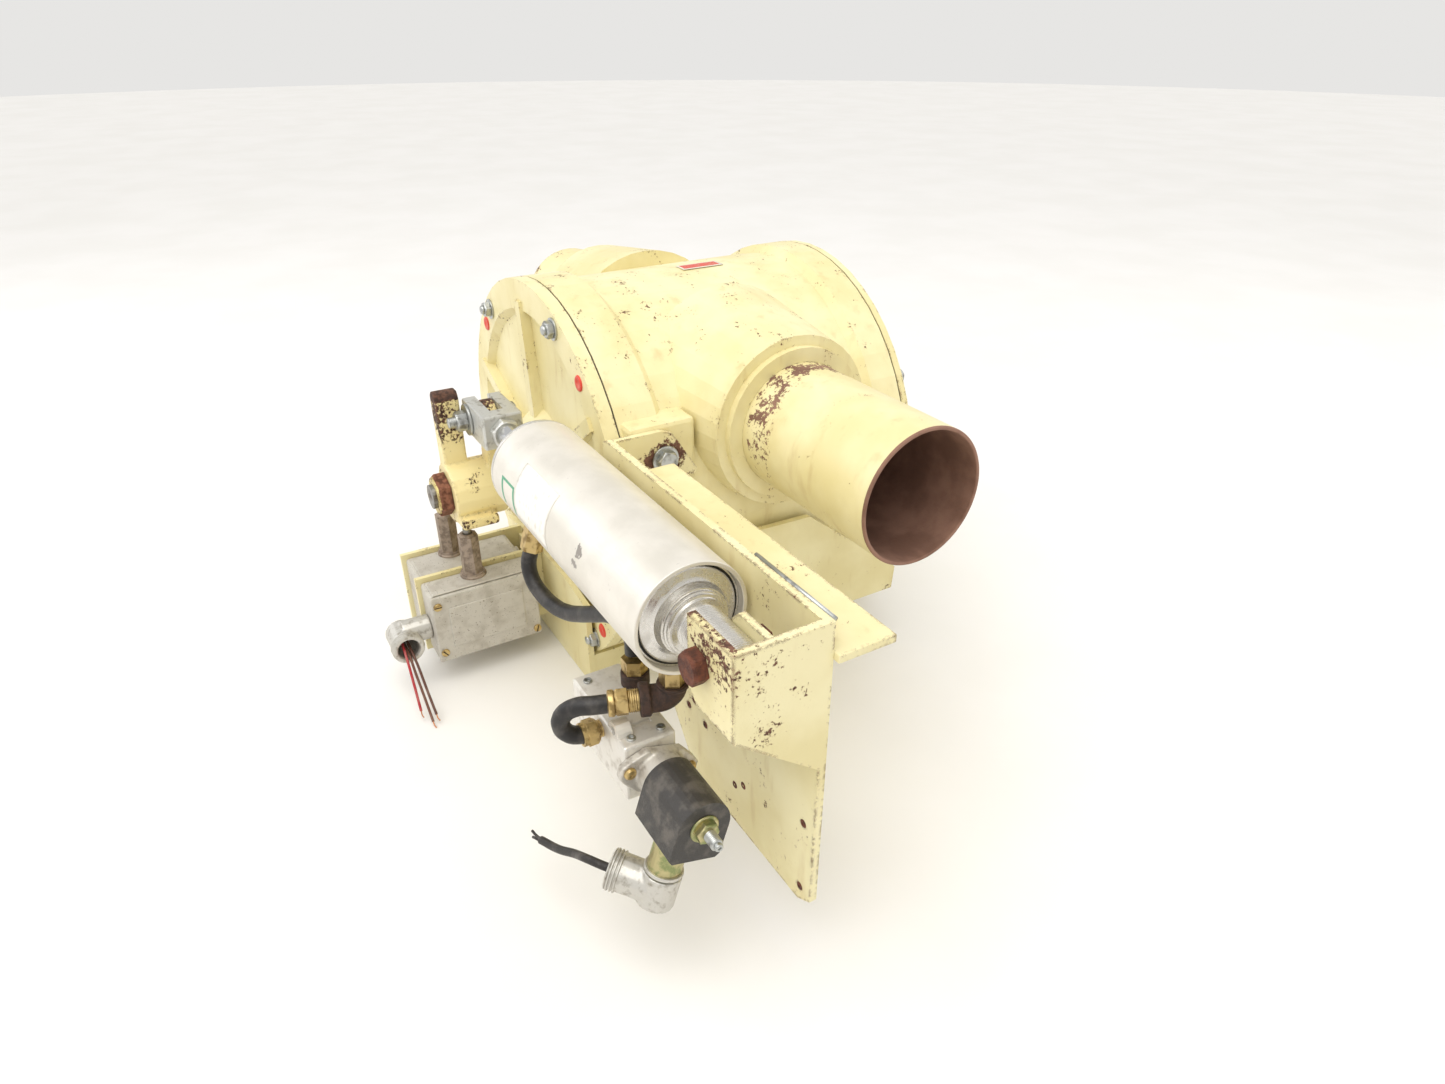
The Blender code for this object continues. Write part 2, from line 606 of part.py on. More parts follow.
# ---------------------------------------------------------------- brackets
def make_bracket():
    web_back = WEB_FRONT + SHEET
    bracket = plate("actuator_bracket", [
        (WEB_LEFT, WEB_TOP - 3), (WEB_LEFT + 6, WEB_TOP), (WEB_RIGHT, WEB_TOP),
        (WEB_RIGHT, WEB_BOTTOM + 9), (WEB_RIGHT - 14, WEB_BOTTOM), (330, WEB_BOTTOM),
        (WEB_LEFT, EAR_BOTTOM)], WEB_FRONT, web_back)
    end_plate = plate("bracket_end", [
        (RETURN_FACE, WEB_TOP), (web_back - 1, WEB_TOP), (web_back - 1, 184), (RETURN_FACE, RETURN_BOTTOM)],
        WEB_RIGHT - SHEET, WEB_RIGHT, "YZ")
    wing = plate("bracket_return", [
        (RETURN_LEFT, WEB_TOP), (WEB_RIGHT - 1, WEB_TOP), (WEB_RIGHT - 1, RETURN_BOTTOM),
        (RETURN_LEFT + 10, RETURN_BOTTOM), (RETURN_LEFT, RETURN_BOTTOM + 8)],
        RETURN_FACE, RETURN_FACE + SHEET)
    ear = plate("bracket_ear", [
        (WEB_FRONT + 1, EAR_BOTTOM), (WEB_FRONT + 1, WEB_TOP - 3), (EAR_BACK - 34, WEB_TOP - 3),
        (EAR_BACK - 24, WEB_TOP - 7), (EAR_BACK, EAR_BOTTOM + 8), (EAR_BACK - 4, EAR_BOTTOM)],
        WEB_LEFT, WEB_LEFT + SHEET, "YZ")
    fuse(bracket, end_plate, wing, ear)
    cut(bracket,
        rod("ear_hole", PIN_R + GAP, 170, 200, "X", (0, *LUG_BOLT), 16),
        rod("flange_relief", COVER_R + 2, WEB_FRONT + SHEET + 0.5, 0, "Y", DRUM, 48),
        rod("pivot_hole", PIVOT_R + GAP, -260, -220, "Y", (PIVOT_X, 0, CYL_Z), 16))
    for number, (x, z) in enumerate(((321, 120), (330, 131), (347, 118), (480, 130), (480, 69))):
        cut(bracket, rod("web_hole_%d" % number, 3.3, -190, -150, "Y", (x, 0, z), 12))
    keep(bracket, PAINT, 0.0, 0.55)
    keep(box("shelf_strip", (210, 497), (web_back + GAP, -124), (272, 278), 0.8), PAINT, 0.0, 0.55)
    keep(plate("mount_plate", [(-40, 60), (-40, 180), (31, 178), (147, 86), (145, 60)],
               190, 196, "YZ"), PAINT, 0.0, 0.55)
    bolt = rod("bracket_bolt", PIN_R, 156, WEB_LEFT + SHEET + 3, "X", (0, *LUG_BOLT), 16)
    face = WEB_LEFT + SHEET + GAP
    washer = rod("bracket_washer", 12, face, face + 2, "X", (0, *LUG_BOLT), 16)
    fuse(bolt, washer, hexagon("bracket_bolt_head", 17, face + 1, face + 9, "X", (0, *LUG_BOLT)))
    keep(bolt, ZINC, 1.0, 0.4)


def make_cradle():
    """Folded sheet frame that the drum lies in."""
    half = CRADLE_HALF
    cradle = plate("base_cradle", [
        (-half, 0), (half, 0), (half, CRADLE_FRONT_H), (60, CRADLE_FRONT_H + 8),
        (-60, CRADLE_FRONT_H + 8), (-half, CRADLE_FRONT_H)], CRADLE_FRONT, CRADLE_FRONT + SHEET)
    rear = plate("cradle_rear", [(-half, 0), (half, 0), (half, CRADLE_REAR_H), (-half, CRADLE_REAR_H)],
                 CRADLE_REAR - SHEET, CRADLE_REAR)
    fuse(cradle, rear)
    for side in (-1, 1):
        x = sorted((side * (half - 0.7), side * (half - 0.7 - SHEET)))
        fuse(cradle, box("cradle_side_%d" % side, x, (CRADLE_FRONT + 1, CRADLE_REAR - 1),
                         (0.6, CRADLE_SIDE_H)))
    fuse(cradle, box("cradle_tie", (1.5 - half, half - 1.5), (-TIE_HALF, TIE_HALF), (0, TIE_T)))
    keep(cradle, PAINT, 0.0, 0.55)


# ---------------------------------------------------------------- limit switches
def make_switches():
    back = CRADLE_FRONT - GAP
    bracket = box("switch_bracket", BRACKET_X, (back - 5, back), (22, 98))
    for name, left in (("switch_wing_front", BRACKET_X[1] - WING_T), ("switch_wing_rear", BRACKET_X[0])):
        fuse(bracket, box(name, (left, left + WING_T), (SWITCH_Y[0] - 4, back - 1),
                          (22, SWITCH_Z[1] + 4)))
    for side, (x, y) in (("front", GUIDE_FRONT_XY), ("rear", GUIDE_REAR_XY)):
        cut(bracket, rod("wing_relief_" + side, GUIDE_AF / math.sqrt(3) + GAP,
                         SWITCH_Z[1], GUIDE_TOP, "Z", (x, y, 0), 24))
    keep(bracket, PAINT, 0.0, 0.55)
    keep(box("switch_box_front", FRONT_BOX_X, SWITCH_Y, SWITCH_Z, 3), GREY, 0.3, 0.55)
    cover_x = (FRONT_BOX_X[1] + GAP, FRONT_BOX_X[1] + SWITCH_COVER_T)
    keep(box("switch_cover_front", cover_x, SWITCH_Y, SWITCH_Z, 1.5), GREY, 0.3, 0.5)
    keep(box("switch_box_rear", REAR_BOX_X, SWITCH_Y, SWITCH_Z, 3), GREY, 0.3, 0.55)
    for side, (x, y) in (("front", GUIDE_FRONT_XY), ("rear", GUIDE_REAR_XY)):
        at = (x, y, 0)
        base = SWITCH_Z[1] + GAP
        guide = hexagon("plunger_guide_" + side, GUIDE_AF, base + 1, GUIDE_TOP, "Z", at)
        fuse(guide, rod("guide_foot_" + side, 12, base, base + 5, "Z", at, 16))
        cut(guide, rod("guide_bore_" + side, PLUNGER_R + GAP, base + 16, GUIDE_TOP + 20, "Z", at, 16))
        keep(guide, STEEL, 1.0, 0.5)
        keep(rod("plunger_" + side, PLUNGER_R, base + 22, PLUNGER_TOP, "Z", at, 20), STEEL, 1.0, 0.35)
    elbow_z = 60.0
    elbow_y = SWITCH_Y[0] - 28
    elbow = rod("switch_elbow", 13, elbow_y, SWITCH_Y[0] - GAP, "Y", (12, 0, elbow_z), 16)
    fuse(elbow, rod("switch_elbow_leg", 15, -1, 34, "X", (0, elbow_y, elbow_z - 6), 16))
    cut(elbow, rod("switch_elbow_mouth", 10.5, 8, 60, "X", (0, elbow_y, elbow_z - 6), 16))
    keep(elbow, ZINC, 1.0, 0.4)
    mouth = (elbow_y, elbow_z - 6)
    y, z = mouth
    cord("wire_red", [(12, y - 3, z + 2), (26, y - 4, z + 1), (44, y - 5, z - 8), (62, y - 6, z - 27),
                      (78, y - 7, z - 44)], 1.3, (0.5, 0.05, 0.06), 9.0)
    cord("wire_brown_a", [(12, y + 2, z - 1), (28, y + 2, z - 2), (48, y + 3, z - 12),
                          (68, y + 4, z - 30), (88, y + 5, z - 46)], 1.3, (0.2, 0.09, 0.05), 9.0)
    cord("wire_brown_b", [(12, y - 1, z - 4), (36, y - 1, z - 6), (50, y - 1, z - 17),
                          (66, y, z - 34), (92, y, z - 50)], 1.3, (0.2, 0.09, 0.05), 9.0)


# ---------------------------------------------------------------- solenoid valve
def make_valve():
    block = box("valve_block", BLOCK_X, BLOCK_Y, BLOCK_Z, 2)
    lug_at = (372, 0, BLOCK_Z[1])
    fuse(block, rod("block_lug", 9, BLOCK_Y[0] + 1, BLOCK_Y[0] + 12, "Y", lug_at, 16))
    cut(block,
        rod("block_lug_hole", 3.2, BLOCK_Y[0] - 9, BLOCK_Y[0] + 30, "Y", (372, 0, BLOCK_Z[1] + 2), 16))
    keep(block, ALU, 1.0, 0.5)
    y, z = COIL_AXIS
    roll = math.radians(-COIL_ROLL)

    def rolled(across, up):
        return (y + across * math.cos(roll) - up * math.sin(roll),
                z + across * math.sin(roll) + up * math.cos(roll))

    ears = [rolled(side * a, up) for side, a, up in (
        (1, 31, 4), (1, 27, 8), (1, 14, 17), (-1, 14, 17), (-1, 27, 8), (-1, 31, 4),
        (-1, 31, -4), (-1, 27, -8), (-1, 14, -17), (1, 14, -17), (1, 27, -8), (1, 31, -4))]
    adapter = plate("valve_adapter", ears, BLOCK_X[1] + GAP, BLOCK_X[1] + 7, "YZ")
    fuse(adapter, rod("adapter_neck", 18, BLOCK_X[1] + 3, COIL_X[0] - GAP, "X", (0, y, z), 32))
    keep(adapter, ALU, 1.0, 0.55)
    outline = arc(0, 0, COIL_R, 0, 180, 16)
    outline += [(-COIL_R, 3 - COIL_DROP), (3 - COIL_R, -COIL_DROP),
                (COIL_R - 3, -COIL_DROP), (COIL_R, 3 - COIL_DROP)]
    keep(plate("coil_housing", [rolled(*p) for p in outline], COIL_X[0], COIL_X[1], "YZ"),
         BLACK, 0.0, 0.6)
    stem = rod("coil_stem", 4.5, COIL_X[1] + GAP, COIL_X[1] + 20, "X", (0, y, z), 16)
    fuse(stem, hexagon("coil_nut", 15, COIL_X[1] + GAP, COIL_X[1] + 6, "X", (0, y, z)))
    keep(stem, STEEL, 1.0, 0.35)
    centre = (NIPPLE_X, y, z)
    nipple = rod("conduit_nipple", 12.5, -NIPPLE_DROP, -COIL_DROP - GAP, "Z", centre, 24)
    nipple.rotation_euler = (roll, 0, 0)
    keep(nipple, STEEL, 1.0, 0.4)
    elbow = rod("cable_elbow", 14.5, -ELBOW_DROP - 12, -NIPPLE_DROP - GAP, "Z", centre, 16)
    elbow.rotation_euler = (roll, 0, 0)
    bend = Vector((NIPPLE_X, *rolled(0, -ELBOW_DROP)))
    leg = rod("cable_elbow_leg", 14, 0, 36, "Z", bend, 16)
    leg.rotation_euler = Vector(CABLE_WAY).to_track_quat("Z", "Y").to_euler()
    mouth = rod("cable_elbow_mouth", 10, 12, 60, "Z", bend, 16)
    mouth.rotation_euler = leg.rotation_euler
    fuse(elbow, leg)
    cut(elbow, mouth)
    keep(elbow, ZINC, 1.0, 0.4)
    cord("coil_cable", [(423, -273, 79), (406, -289, 83), (391, -296, 80), (372, -299, 69),
                        (349, -304, 55), (324, -309, 44)], 3.2, BLACK, 8.0)


def make_air_lines():
    """Iron elbows, brass fittings and the two rubber hoses."""
    top = BLOCK_Z[1]
    a = (330, -224)
    elbow_a = rod("elbow_rod_line", 11, top + GAP, top + 12, "Z", (*a, 0), 16)
    keep(elbow_a, IRON, 0.7, 0.7)
    keep(hexagon("hose_nut_rod_line", 17, top + 12 + GAP, top + 24, "Z", (*a, 0)), BRASS, 1.0, 0.4)
    cord("hose_rod_line", [(165, -240.2, 205.5), (165.5, -243.5, 194), (171, -244, 182),
                           (184, -242, 174), (205, -239, 172), (228, -236, 177), (252, -233, 188),
                           (276, -230, 201), (300, -227, 213), (318, -225, 216),
                           (a[0] - 1.5, a[1], 209), (a[0], a[1], top + 28)], HOSE_R, BLACK, 13.0)
    tail_x = CYL_END - 30
    elbow_b = turned("elbow_tail_line", [(0, 180), (9, 180), (13, 184), (13, 196), (11, 203 - GAP),
                                         (0, 203 - GAP)], "Z", (tail_x, CYL_Y, 0), 16)
    leg = rod("elbow_tail_leg", 11, -24, 0, "Y", (tail_x, CYL_Y, 190), 16)
    leg.rotation_euler = (math.radians(-90), 0, math.radians(-20))
    fuse(elbow_b, leg)
    keep(elbow_b, IRON, 0.7, 0.7)
    nut = rod("hose_nut_tail_line", 9.5, -46, -24 - GAP, "Y", (tail_x, CYL_Y, 190), 16)
    nut.rotation_euler = leg.rotation_euler
    keep(nut, BRASS, 1.0, 0.4)
    out = Vector((-math.sin(math.radians(20)), -math.cos(math.radians(20)), 0))
    begin = Vector((tail_x, CYL_Y, 190)) + out * 46.4
    port = Vector((352, BLOCK_Y[0] - 13.4, 158))
    cord("hose_tail_line", [begin, begin + out * 10, begin + out * 22 + Vector((-2, 0, -4)),
                            begin + out * 29 + Vector((-6, 0, -14)),
                            begin + out * 26 + Vector((-10, 0, -26)),
                            port + Vector((0, -10, 0)), port], HOSE_R, BLACK, 7.0)


make_valve_body()
make_pipes()
make_covers()
make_rotor()
make_lever()
make_clevis()
make_cylinder()
make_tail_pivot()
make_bracket()
make_cradle()
make_switches()
make_valve()
make_air_lines()
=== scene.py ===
"""The looks of a pneumatic two-way diverter valve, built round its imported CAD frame.
Metres, +Z up, pipes along X, crank lever and air cylinder on the -Y side."""
import math

import bmesh
import bpy
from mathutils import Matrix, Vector


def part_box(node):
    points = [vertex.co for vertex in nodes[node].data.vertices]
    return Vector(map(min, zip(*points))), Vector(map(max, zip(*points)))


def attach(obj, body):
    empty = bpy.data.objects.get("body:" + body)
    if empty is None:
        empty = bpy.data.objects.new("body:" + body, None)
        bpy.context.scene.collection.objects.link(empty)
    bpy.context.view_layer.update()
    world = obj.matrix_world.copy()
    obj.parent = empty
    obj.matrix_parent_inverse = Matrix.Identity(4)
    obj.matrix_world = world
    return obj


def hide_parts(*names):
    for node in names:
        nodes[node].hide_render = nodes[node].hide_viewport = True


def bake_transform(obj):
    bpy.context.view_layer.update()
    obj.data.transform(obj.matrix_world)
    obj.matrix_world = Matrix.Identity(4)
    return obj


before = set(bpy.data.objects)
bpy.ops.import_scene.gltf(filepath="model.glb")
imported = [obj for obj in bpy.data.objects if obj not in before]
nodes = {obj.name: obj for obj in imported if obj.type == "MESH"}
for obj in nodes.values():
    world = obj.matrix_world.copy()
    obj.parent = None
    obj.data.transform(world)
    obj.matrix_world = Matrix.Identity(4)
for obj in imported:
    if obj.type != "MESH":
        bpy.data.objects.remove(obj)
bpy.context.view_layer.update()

# ---------------------------------------------------------------- camera
# A 23 mm lens on a full-frame camera, held 0.6 m above the bench off the inlet
# end of the valve, and looking down across the air cylinder.
CAMERA_AT = (0.8444, -0.4545, 0.6090)
CAMERA_YAW = math.radians(149.22)
CAMERA_DOWN = math.radians(29.69)
camera = bpy.data.objects.new("camera", bpy.data.cameras.new("camera"))
camera.data.lens = 23.41
camera.data.sensor_width = 36.0
camera.data.clip_start = 0.02
aim = Vector((math.cos(CAMERA_YAW) * math.cos(CAMERA_DOWN),
              math.sin(CAMERA_YAW) * math.cos(CAMERA_DOWN), -math.sin(CAMERA_DOWN)))
camera.location = CAMERA_AT
camera.rotation_euler = aim.to_track_quat("-Z", "Y").to_euler()
bpy.context.collection.objects.link(camera)
bpy.context.scene.camera = camera


# ---------------------------------------------------------------- loose wires
# Three PVC-covered control wires hang out of the switch's conduit elbow, cut short, with
# bare copper ends. A two-core rubber cable hangs out of the coil's, and its cores show.
MM = 0.001
WIRE_R = 1.3
CABLE_R = 3.2
WIRES = {
    "wire_red": [(12, -337, 56), (26, -338, 55), (44, -339, 46), (62, -340, 27), (78, -341, 10)],
    "wire_brown_a": [(12, -332, 53), (28, -332, 52), (48, -331, 42), (68, -330, 24), (88, -329, 8)],
    "wire_brown_b": [(12, -335, 50), (36, -335, 48), (50, -335, 37), (66, -334, 20), (92, -334, 4)],
}
COIL_CABLE = [(423, -273, 79), (406, -289, 83), (391, -296, 80), (372, -299, 69), (349, -304, 55),
              (324, -309, 44)]


def colour(code):
    """The linear RGBA value of an sRGB hex code."""
    parts = [int(code[i:i + 2], 16) / 255 for i in (0, 2, 4)]
    return tuple(p / 12.92 if p <= 0.04045 else ((p + 0.055) / 1.055) ** 2.4 for p in parts) + (1.0,)


def feed(mat, shader, inputs):
    """Sets each input of a shader node to a value, or links it to a socket."""
    for key, value in inputs.items():
        if isinstance(value, bpy.types.NodeSocket):
            mat.node_tree.links.new(value, shader.inputs[key])
        else:
            shader.inputs[key].default_value = value


def add(mat, kind, inputs, **settings):
    """A shader node with its settings and its inputs."""
    shader = mat.node_tree.nodes.new("ShaderNode" + kind)
    for name, value in settings.items():
        setattr(shader, name, value)
    feed(mat, shader, inputs)
    return shader


def start(name):
    """A new material, its Principled shader, and its place in the frame in millimetres."""
    mat = bpy.data.materials.new(name)
    mat.use_nodes = True
    shader = mat.node_tree.nodes["Principled BSDF"]
    place = add(mat, "TexCoord", {}).outputs["Object"]
    place = add(mat, "VectorMath", {0: place, 1: (1000, 1000, 1000)}, operation="MULTIPLY").outputs[0]
    return mat, shader, place


def noise(mat, place, size, detail=3.0, stretch=(1, 1, 1), rough=0.55):
    """Cloudy noise whose blobs are size millimetres across, squeezed along each axis by stretch."""
    place = add(mat, "VectorMath", {0: place, 1: stretch}, operation="MULTIPLY").outputs[0]
    settings = {"Vector": place, "Scale": 1 / size, "Detail": detail, "Roughness": rough}
    return add(mat, "TexNoise", settings).outputs["Fac"]


def ramp(mat, value, low, high, start_value=0.0, end_value=1.0):
    """Value between low and high, eased on to start_value to end_value."""
    settings = {"Value": value, "From Min": low, "From Max": high, "To Min": start_value, "To Max": end_value}
    return add(mat, "MapRange", settings, interpolation_type="SMOOTHSTEP").outputs["Result"]


def sums(mat, operation, a, b=0.0):
    return add(mat, "Math", {0: a, 1: b}, operation=operation).outputs[0]


def mix(mat, factor, a, b):
    """Colour a where factor is 0 and colour b where it is 1."""
    return add(mat, "Mix", {0: factor, 6: a, 7: b}, data_type="RGBA").outputs[2]


def finish_shader(mat, shader, inputs, height=None, depth=0.1):
    """Sets the shader's inputs, and a bump of that depth in millimetres from height."""
    feed(mat, shader, inputs)
    if height is not None:
        normal = add(mat, "Bump", {"Height": height, "Distance": depth * MM, "Strength": 1.0})
        mat.node_tree.links.new(normal.outputs["Normal"], shader.inputs["Normal"])
    return mat


def soft_plastic(name, base, dust, roughness, grain=0.6):
    """Rubber or PVC sheath: one colour, rubbed grey with dust in soft patches."""
    mat, shader, place = start(name)
    dirt = ramp(mat, noise(mat, place, 14, 5), 0.45, 0.68, 0.0, 0.55)
    fine = noise(mat, place, grain, 2)
    return finish_shader(mat, shader, {
        "Base Color": mix(mat, dirt, colour(base), colour(dust)),
        "Roughness": ramp(mat, fine, 0.3, 0.7, roughness - 0.08, roughness + 0.1),
        "Specular IOR Level": 0.45}, fine, 0.04)


def bare_metal(name, base, dark, roughness, spots=12.0, amount=(0.5, 0.7), grain=(1, 1, 1),
               grain_depth=0.02, fine=0.7, metal=1.0):
    """Machined, plated or dulled metal: fine tool grain, with dull dark patches in places."""
    mat, shader, place = start(name)
    patch = ramp(mat, noise(mat, place, spots, 6), amount[0], amount[1], 0.0, 0.85)
    lines = noise(mat, place, fine, 2, grain)
    rough = ramp(mat, lines, 0.3, 0.7, roughness - 0.07, roughness + 0.09)
    return finish_shader(mat, shader, {
        "Base Color": mix(mat, patch, colour(base), colour(dark)),
        "Metallic": metal,
        "Roughness": sums(mat, "ADD", rough, sums(mat, "MULTIPLY", patch, 0.22))}, lines, grain_depth)


def dress(obj, body, mat, replaces=()):
    """Gives a new piece its material and body, and hides the CAD nodes that it stands for."""
    obj.data.materials.clear()
    obj.data.materials.append(mat)
    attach(obj, body)
    if replaces:
        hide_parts(*replaces)
    return obj


def strand(name, points, radius):
    """A round cable whose centre line runs smoothly through points, given in millimetres."""
    curve = bpy.data.curves.new(name, "CURVE")
    curve.dimensions = "3D"
    curve.bevel_depth = radius * MM
    curve.bevel_resolution = 5
    curve.resolution_u = 16
    curve.use_fill_caps = True
    spline = curve.splines.new("BEZIER")
    spline.bezier_points.add(len(points) - 1)
    for point, place in zip(spline.bezier_points, points):
        point.co = Vector(place) * MM
        point.handle_left_type = "AUTO"
        point.handle_right_type = "AUTO"
    obj = bpy.data.objects.new(name + "_look", curve)
    bpy.context.collection.objects.link(obj)
    return obj, spline.calc_length()


copper = bare_metal("copper_bright_strands", "c98a5e", "8a5a3c", 0.3)
sheaths = {
    "wire_red": soft_plastic("pvc_sheath_red", "a8242c", "c07a74", 0.42),
    "wire_brown_a": soft_plastic("pvc_sheath_brown_dark", "5b382b", "8d7466", 0.45),
    "wire_brown_b": soft_plastic("pvc_sheath_brown_pale", "6d4433", "94796a", 0.45),
}
for name, points in WIRES.items():
    tail = Vector(points[-1]) - Vector(points[-2])
    tail.normalize()
    core, _ = strand(name + "_core", [points[-1], Vector(points[-1]) + tail * 4,
                                      Vector(points[-1]) + tail * 7 + Vector((0, 1, 0))], 0.6)
    dress(core, "root", copper)
    wire, length = strand(name, points, WIRE_R)
    dress(wire, "root", sheaths[name], replaces=[name])
cable, length = strand("coil_cable", COIL_CABLE, CABLE_R)
rubber = soft_plastic("rubber_cable_sheath", "26221f", "6e6762", 0.5)
for side in (-1, 1):
    end = Vector(COIL_CABLE[-1])
    core, _ = strand("coil_cable_core_%d" % (side + 1), [
        end + Vector((3, 1, side * 1.4)), end + Vector((-8, -1.5, side * 2 - 3)),
        end + Vector((-15, -2, side * 3.4 - 6))], 1.1)
    dress(core, "root", rubber)
dress(cable, "root", rubber, ["coil_cable"])


# ---------------------------------------------------------------- drum body
# One iron casting with two round flanges, sprayed with thick cream enamel that has
# since been knocked off along the edges, where the casting has rusted dark brown.
CREAM = "ece2b4"
CREAM_SHADE = "e0d39c"
RUST = "4f3327"
RUST_PALE = "7d5745"
RUST_HALO = "b08a58"
OIL_RUN = "b9985a"
DRUM_Z = 195


def rubbed_edge(mat, radius, low, high):
    """A mask that is 1 along outer and inner edges and 0 on flat faces, radius millimetres wide."""
    rounded = add(mat, "Bevel", {"Radius": radius * MM}, samples=3).outputs["Normal"]
    flat = add(mat, "NewGeometry", {}).outputs["Normal"]
    facing = add(mat, "VectorMath", {0: rounded, 1: flat}, operation="DOT_PRODUCT").outputs["Value"]
    return ramp(mat, facing, low, high)


def enamel(name, bare, edges, worn=None, seed=0.0, base=CREAM, shade=CREAM_SHADE, rust=RUST,
           rust_pale=RUST_PALE, stain=5):
    """Cream enamel over iron: soft gloss, faint sand-cast texture and brown runs. Above the noise
    level bare, the paint is gone. Edges add to that level, and so does worn, which takes the
    material and its place and gives a mask. Rust under it varies over stain millimetres."""
    mat, shader, place = start(name)
    here = add(mat, "VectorMath", {0: place, 1: (seed, 2 * seed, -seed)}, operation="ADD").outputs[0]
    cloud = noise(mat, here, 90, 4)
    drips = noise(mat, here, 16, 4, (1, 1, 0.25))
    cast = noise(mat, here, 2.4, 4)
    flakes = noise(mat, here, 3.2, 6, rough=0.7)
    patches = noise(mat, here, 22, 5)
    level = sums(mat, "ADD", sums(mat, "MULTIPLY", flakes, 0.55), sums(mat, "MULTIPLY", patches, 0.45))
    level = sums(mat, "ADD", level, sums(mat, "MULTIPLY", rubbed_edge(mat, 4, 0.995, 0.80), edges))
    if worn:
        level = sums(mat, "ADD", level, worn(mat, place))
    chipped = ramp(mat, level, bare, bare + 0.008)
    halo = ramp(mat, level, bare - 0.035, bare, 0.0, 0.35)
    paint = mix(mat, ramp(mat, cloud, 0.35, 0.65), colour(base), colour(shade))
    paint = mix(mat, ramp(mat, drips, 0.56, 0.78, 0.0, 0.30), paint, colour(OIL_RUN))
    paint = mix(mat, halo, paint, colour(RUST_HALO))
    iron = mix(mat, ramp(mat, noise(mat, here, stain, 5), 0.36, 0.66), colour(rust), colour(rust_pale))
    gloss = ramp(mat, drips, 0.3, 0.7, 0.34, 0.46)
    film = sums(mat, "SUBTRACT", sums(mat, "MULTIPLY", cast, 0.35), chipped)
    return finish_shader(mat, shader, {
        "Base Color": mix(mat, chipped, paint, iron),
        "Roughness": sums(mat, "ADD", gloss, sums(mat, "MULTIPLY", chipped, 0.42)),
        "Specular IOR Level": 0.42}, film, 0.28)


def repaint(name, mat):
    """Gives a CAD node's own mesh another material."""
    for held in nodes[name].material_slots:
        held.material = mat


def round_off(obj, width, segments=2, angle=35):
    """Small radius on every edge sharper than angle."""
    bevel = obj.modifiers.new("edge_radius", "BEVEL")
    bevel.width = width * MM
    bevel.segments = segments
    bevel.limit_method = "ANGLE"
    bevel.angle_limit = math.radians(angle)
    return obj


def cast_skin(obj, voxel, passes):
    """Softens a piece's corners all over, as sand casting does."""
    skin = obj.modifiers.new("cast_skin", "REMESH")
    skin.mode = "VOXEL"
    skin.voxel_size = voxel * MM
    skin.use_smooth_shade = True
    relax = obj.modifiers.new("cast_relax", "SMOOTH")
    relax.factor = 0.5
    relax.iterations = passes


def top_specks(mat, place):
    """More small chips along the top of the barrel."""
    height = add(mat, "SeparateXYZ", {0: place}).outputs["Z"]
    return ramp(mat, height, 330, 385, 0.0, 0.02)


body_paint = enamel("cast_iron_cream_enamel_body", 0.635, 0.05, top_specks)
repaint("valve_body", body_paint)


# ---------------------------------------------------------------- covers
# Turned cast covers with six thin ribs, each held by six zinc hex bolts on plain
# washers. Red plastic plugs close the spare tapped holes of the front one.
FRONT_FACE = -166.0
REAR_FACE = 157.0
BOLT_CIRCLE = 179.0
PLUG_CIRCLE = 177.0
ZINC = "b9bbb8"
WASHER_R = 10.2
WASHER_T = 1.8
HEAD_AF = 14.3
HEAD_H = 6.2
HEAD_STEPS = 24
HEAD_CHAMFER = 0.80
HEAD_CROWN = 0.96


def solid(name, shape, smooth=True):
    """Turns a finished bmesh into an object whose faces look outwards."""
    bmesh.ops.recalc_face_normals(shape, faces=shape.faces)
    for face in shape.faces:
        face.smooth = smooth
    mesh = bpy.data.meshes.new(name)
    shape.to_mesh(mesh)
    shape.free()
    obj = bpy.data.objects.new(name, mesh)
    bpy.context.collection.objects.link(obj)
    return obj


def lathe(name, profile, at, direction, steps, closed=True):
    """A turned solid. The profile is (radius, distance) pairs in millimetres, measured along
    direction from at. The mesh is in the frame's own axes, so its pattern needs no mapping."""
    shape = bmesh.new()
    spin = Vector(direction).normalized().to_track_quat("Z", "Y")
    rings = []
    for radius, along in profile:
        if radius < 0.001:
            rings.append([shape.verts.new((Vector(at) + spin @ Vector((0, 0, along))) * MM)])
            continue
        ring = []
        for step in range(steps):
            turn = 2 * math.pi * step / steps
            spot = Vector((radius * math.cos(turn), radius * math.sin(turn), along))
            ring.append(shape.verts.new((Vector(at) + spin @ spot) * MM))
        rings.append(ring)
    pairs = list(zip(rings, rings[1:]))
    if closed and len(rings[0]) > 1 and len(rings[-1]) > 1:
        pairs.append((rings[-1], rings[0]))
    for low, high in pairs:
        for step in range(steps):
            after = (step + 1) % steps
            corners = [low[step % len(low)], low[after % len(low)], high[after % len(high)],
                       high[step % len(high)]]
            corners = list(dict.fromkeys(corners))
            if len(corners) > 2:
                shape.faces.new(corners)
    return solid(name, shape)


def crisp(obj, width, segments=2, angle=32):
    """Small edge radius on a new piece, with its faces shaded smooth between the edges."""
    round_off(obj, width, segments, angle)
    for face in obj.data.polygons:
        face.use_smooth = True
    weights = obj.modifiers.new("face_normals", "WEIGHTED_NORMAL")
    weights.keep_sharp = True
    return obj


def turned(name, profile, at, direction, steps, body, mat, replaces=(), edge=0.35):
    """A turned piece with small edge radii, dressed and ready."""
    dress(crisp(lathe(name, profile, at, direction, steps), edge), body, mat, replaces)


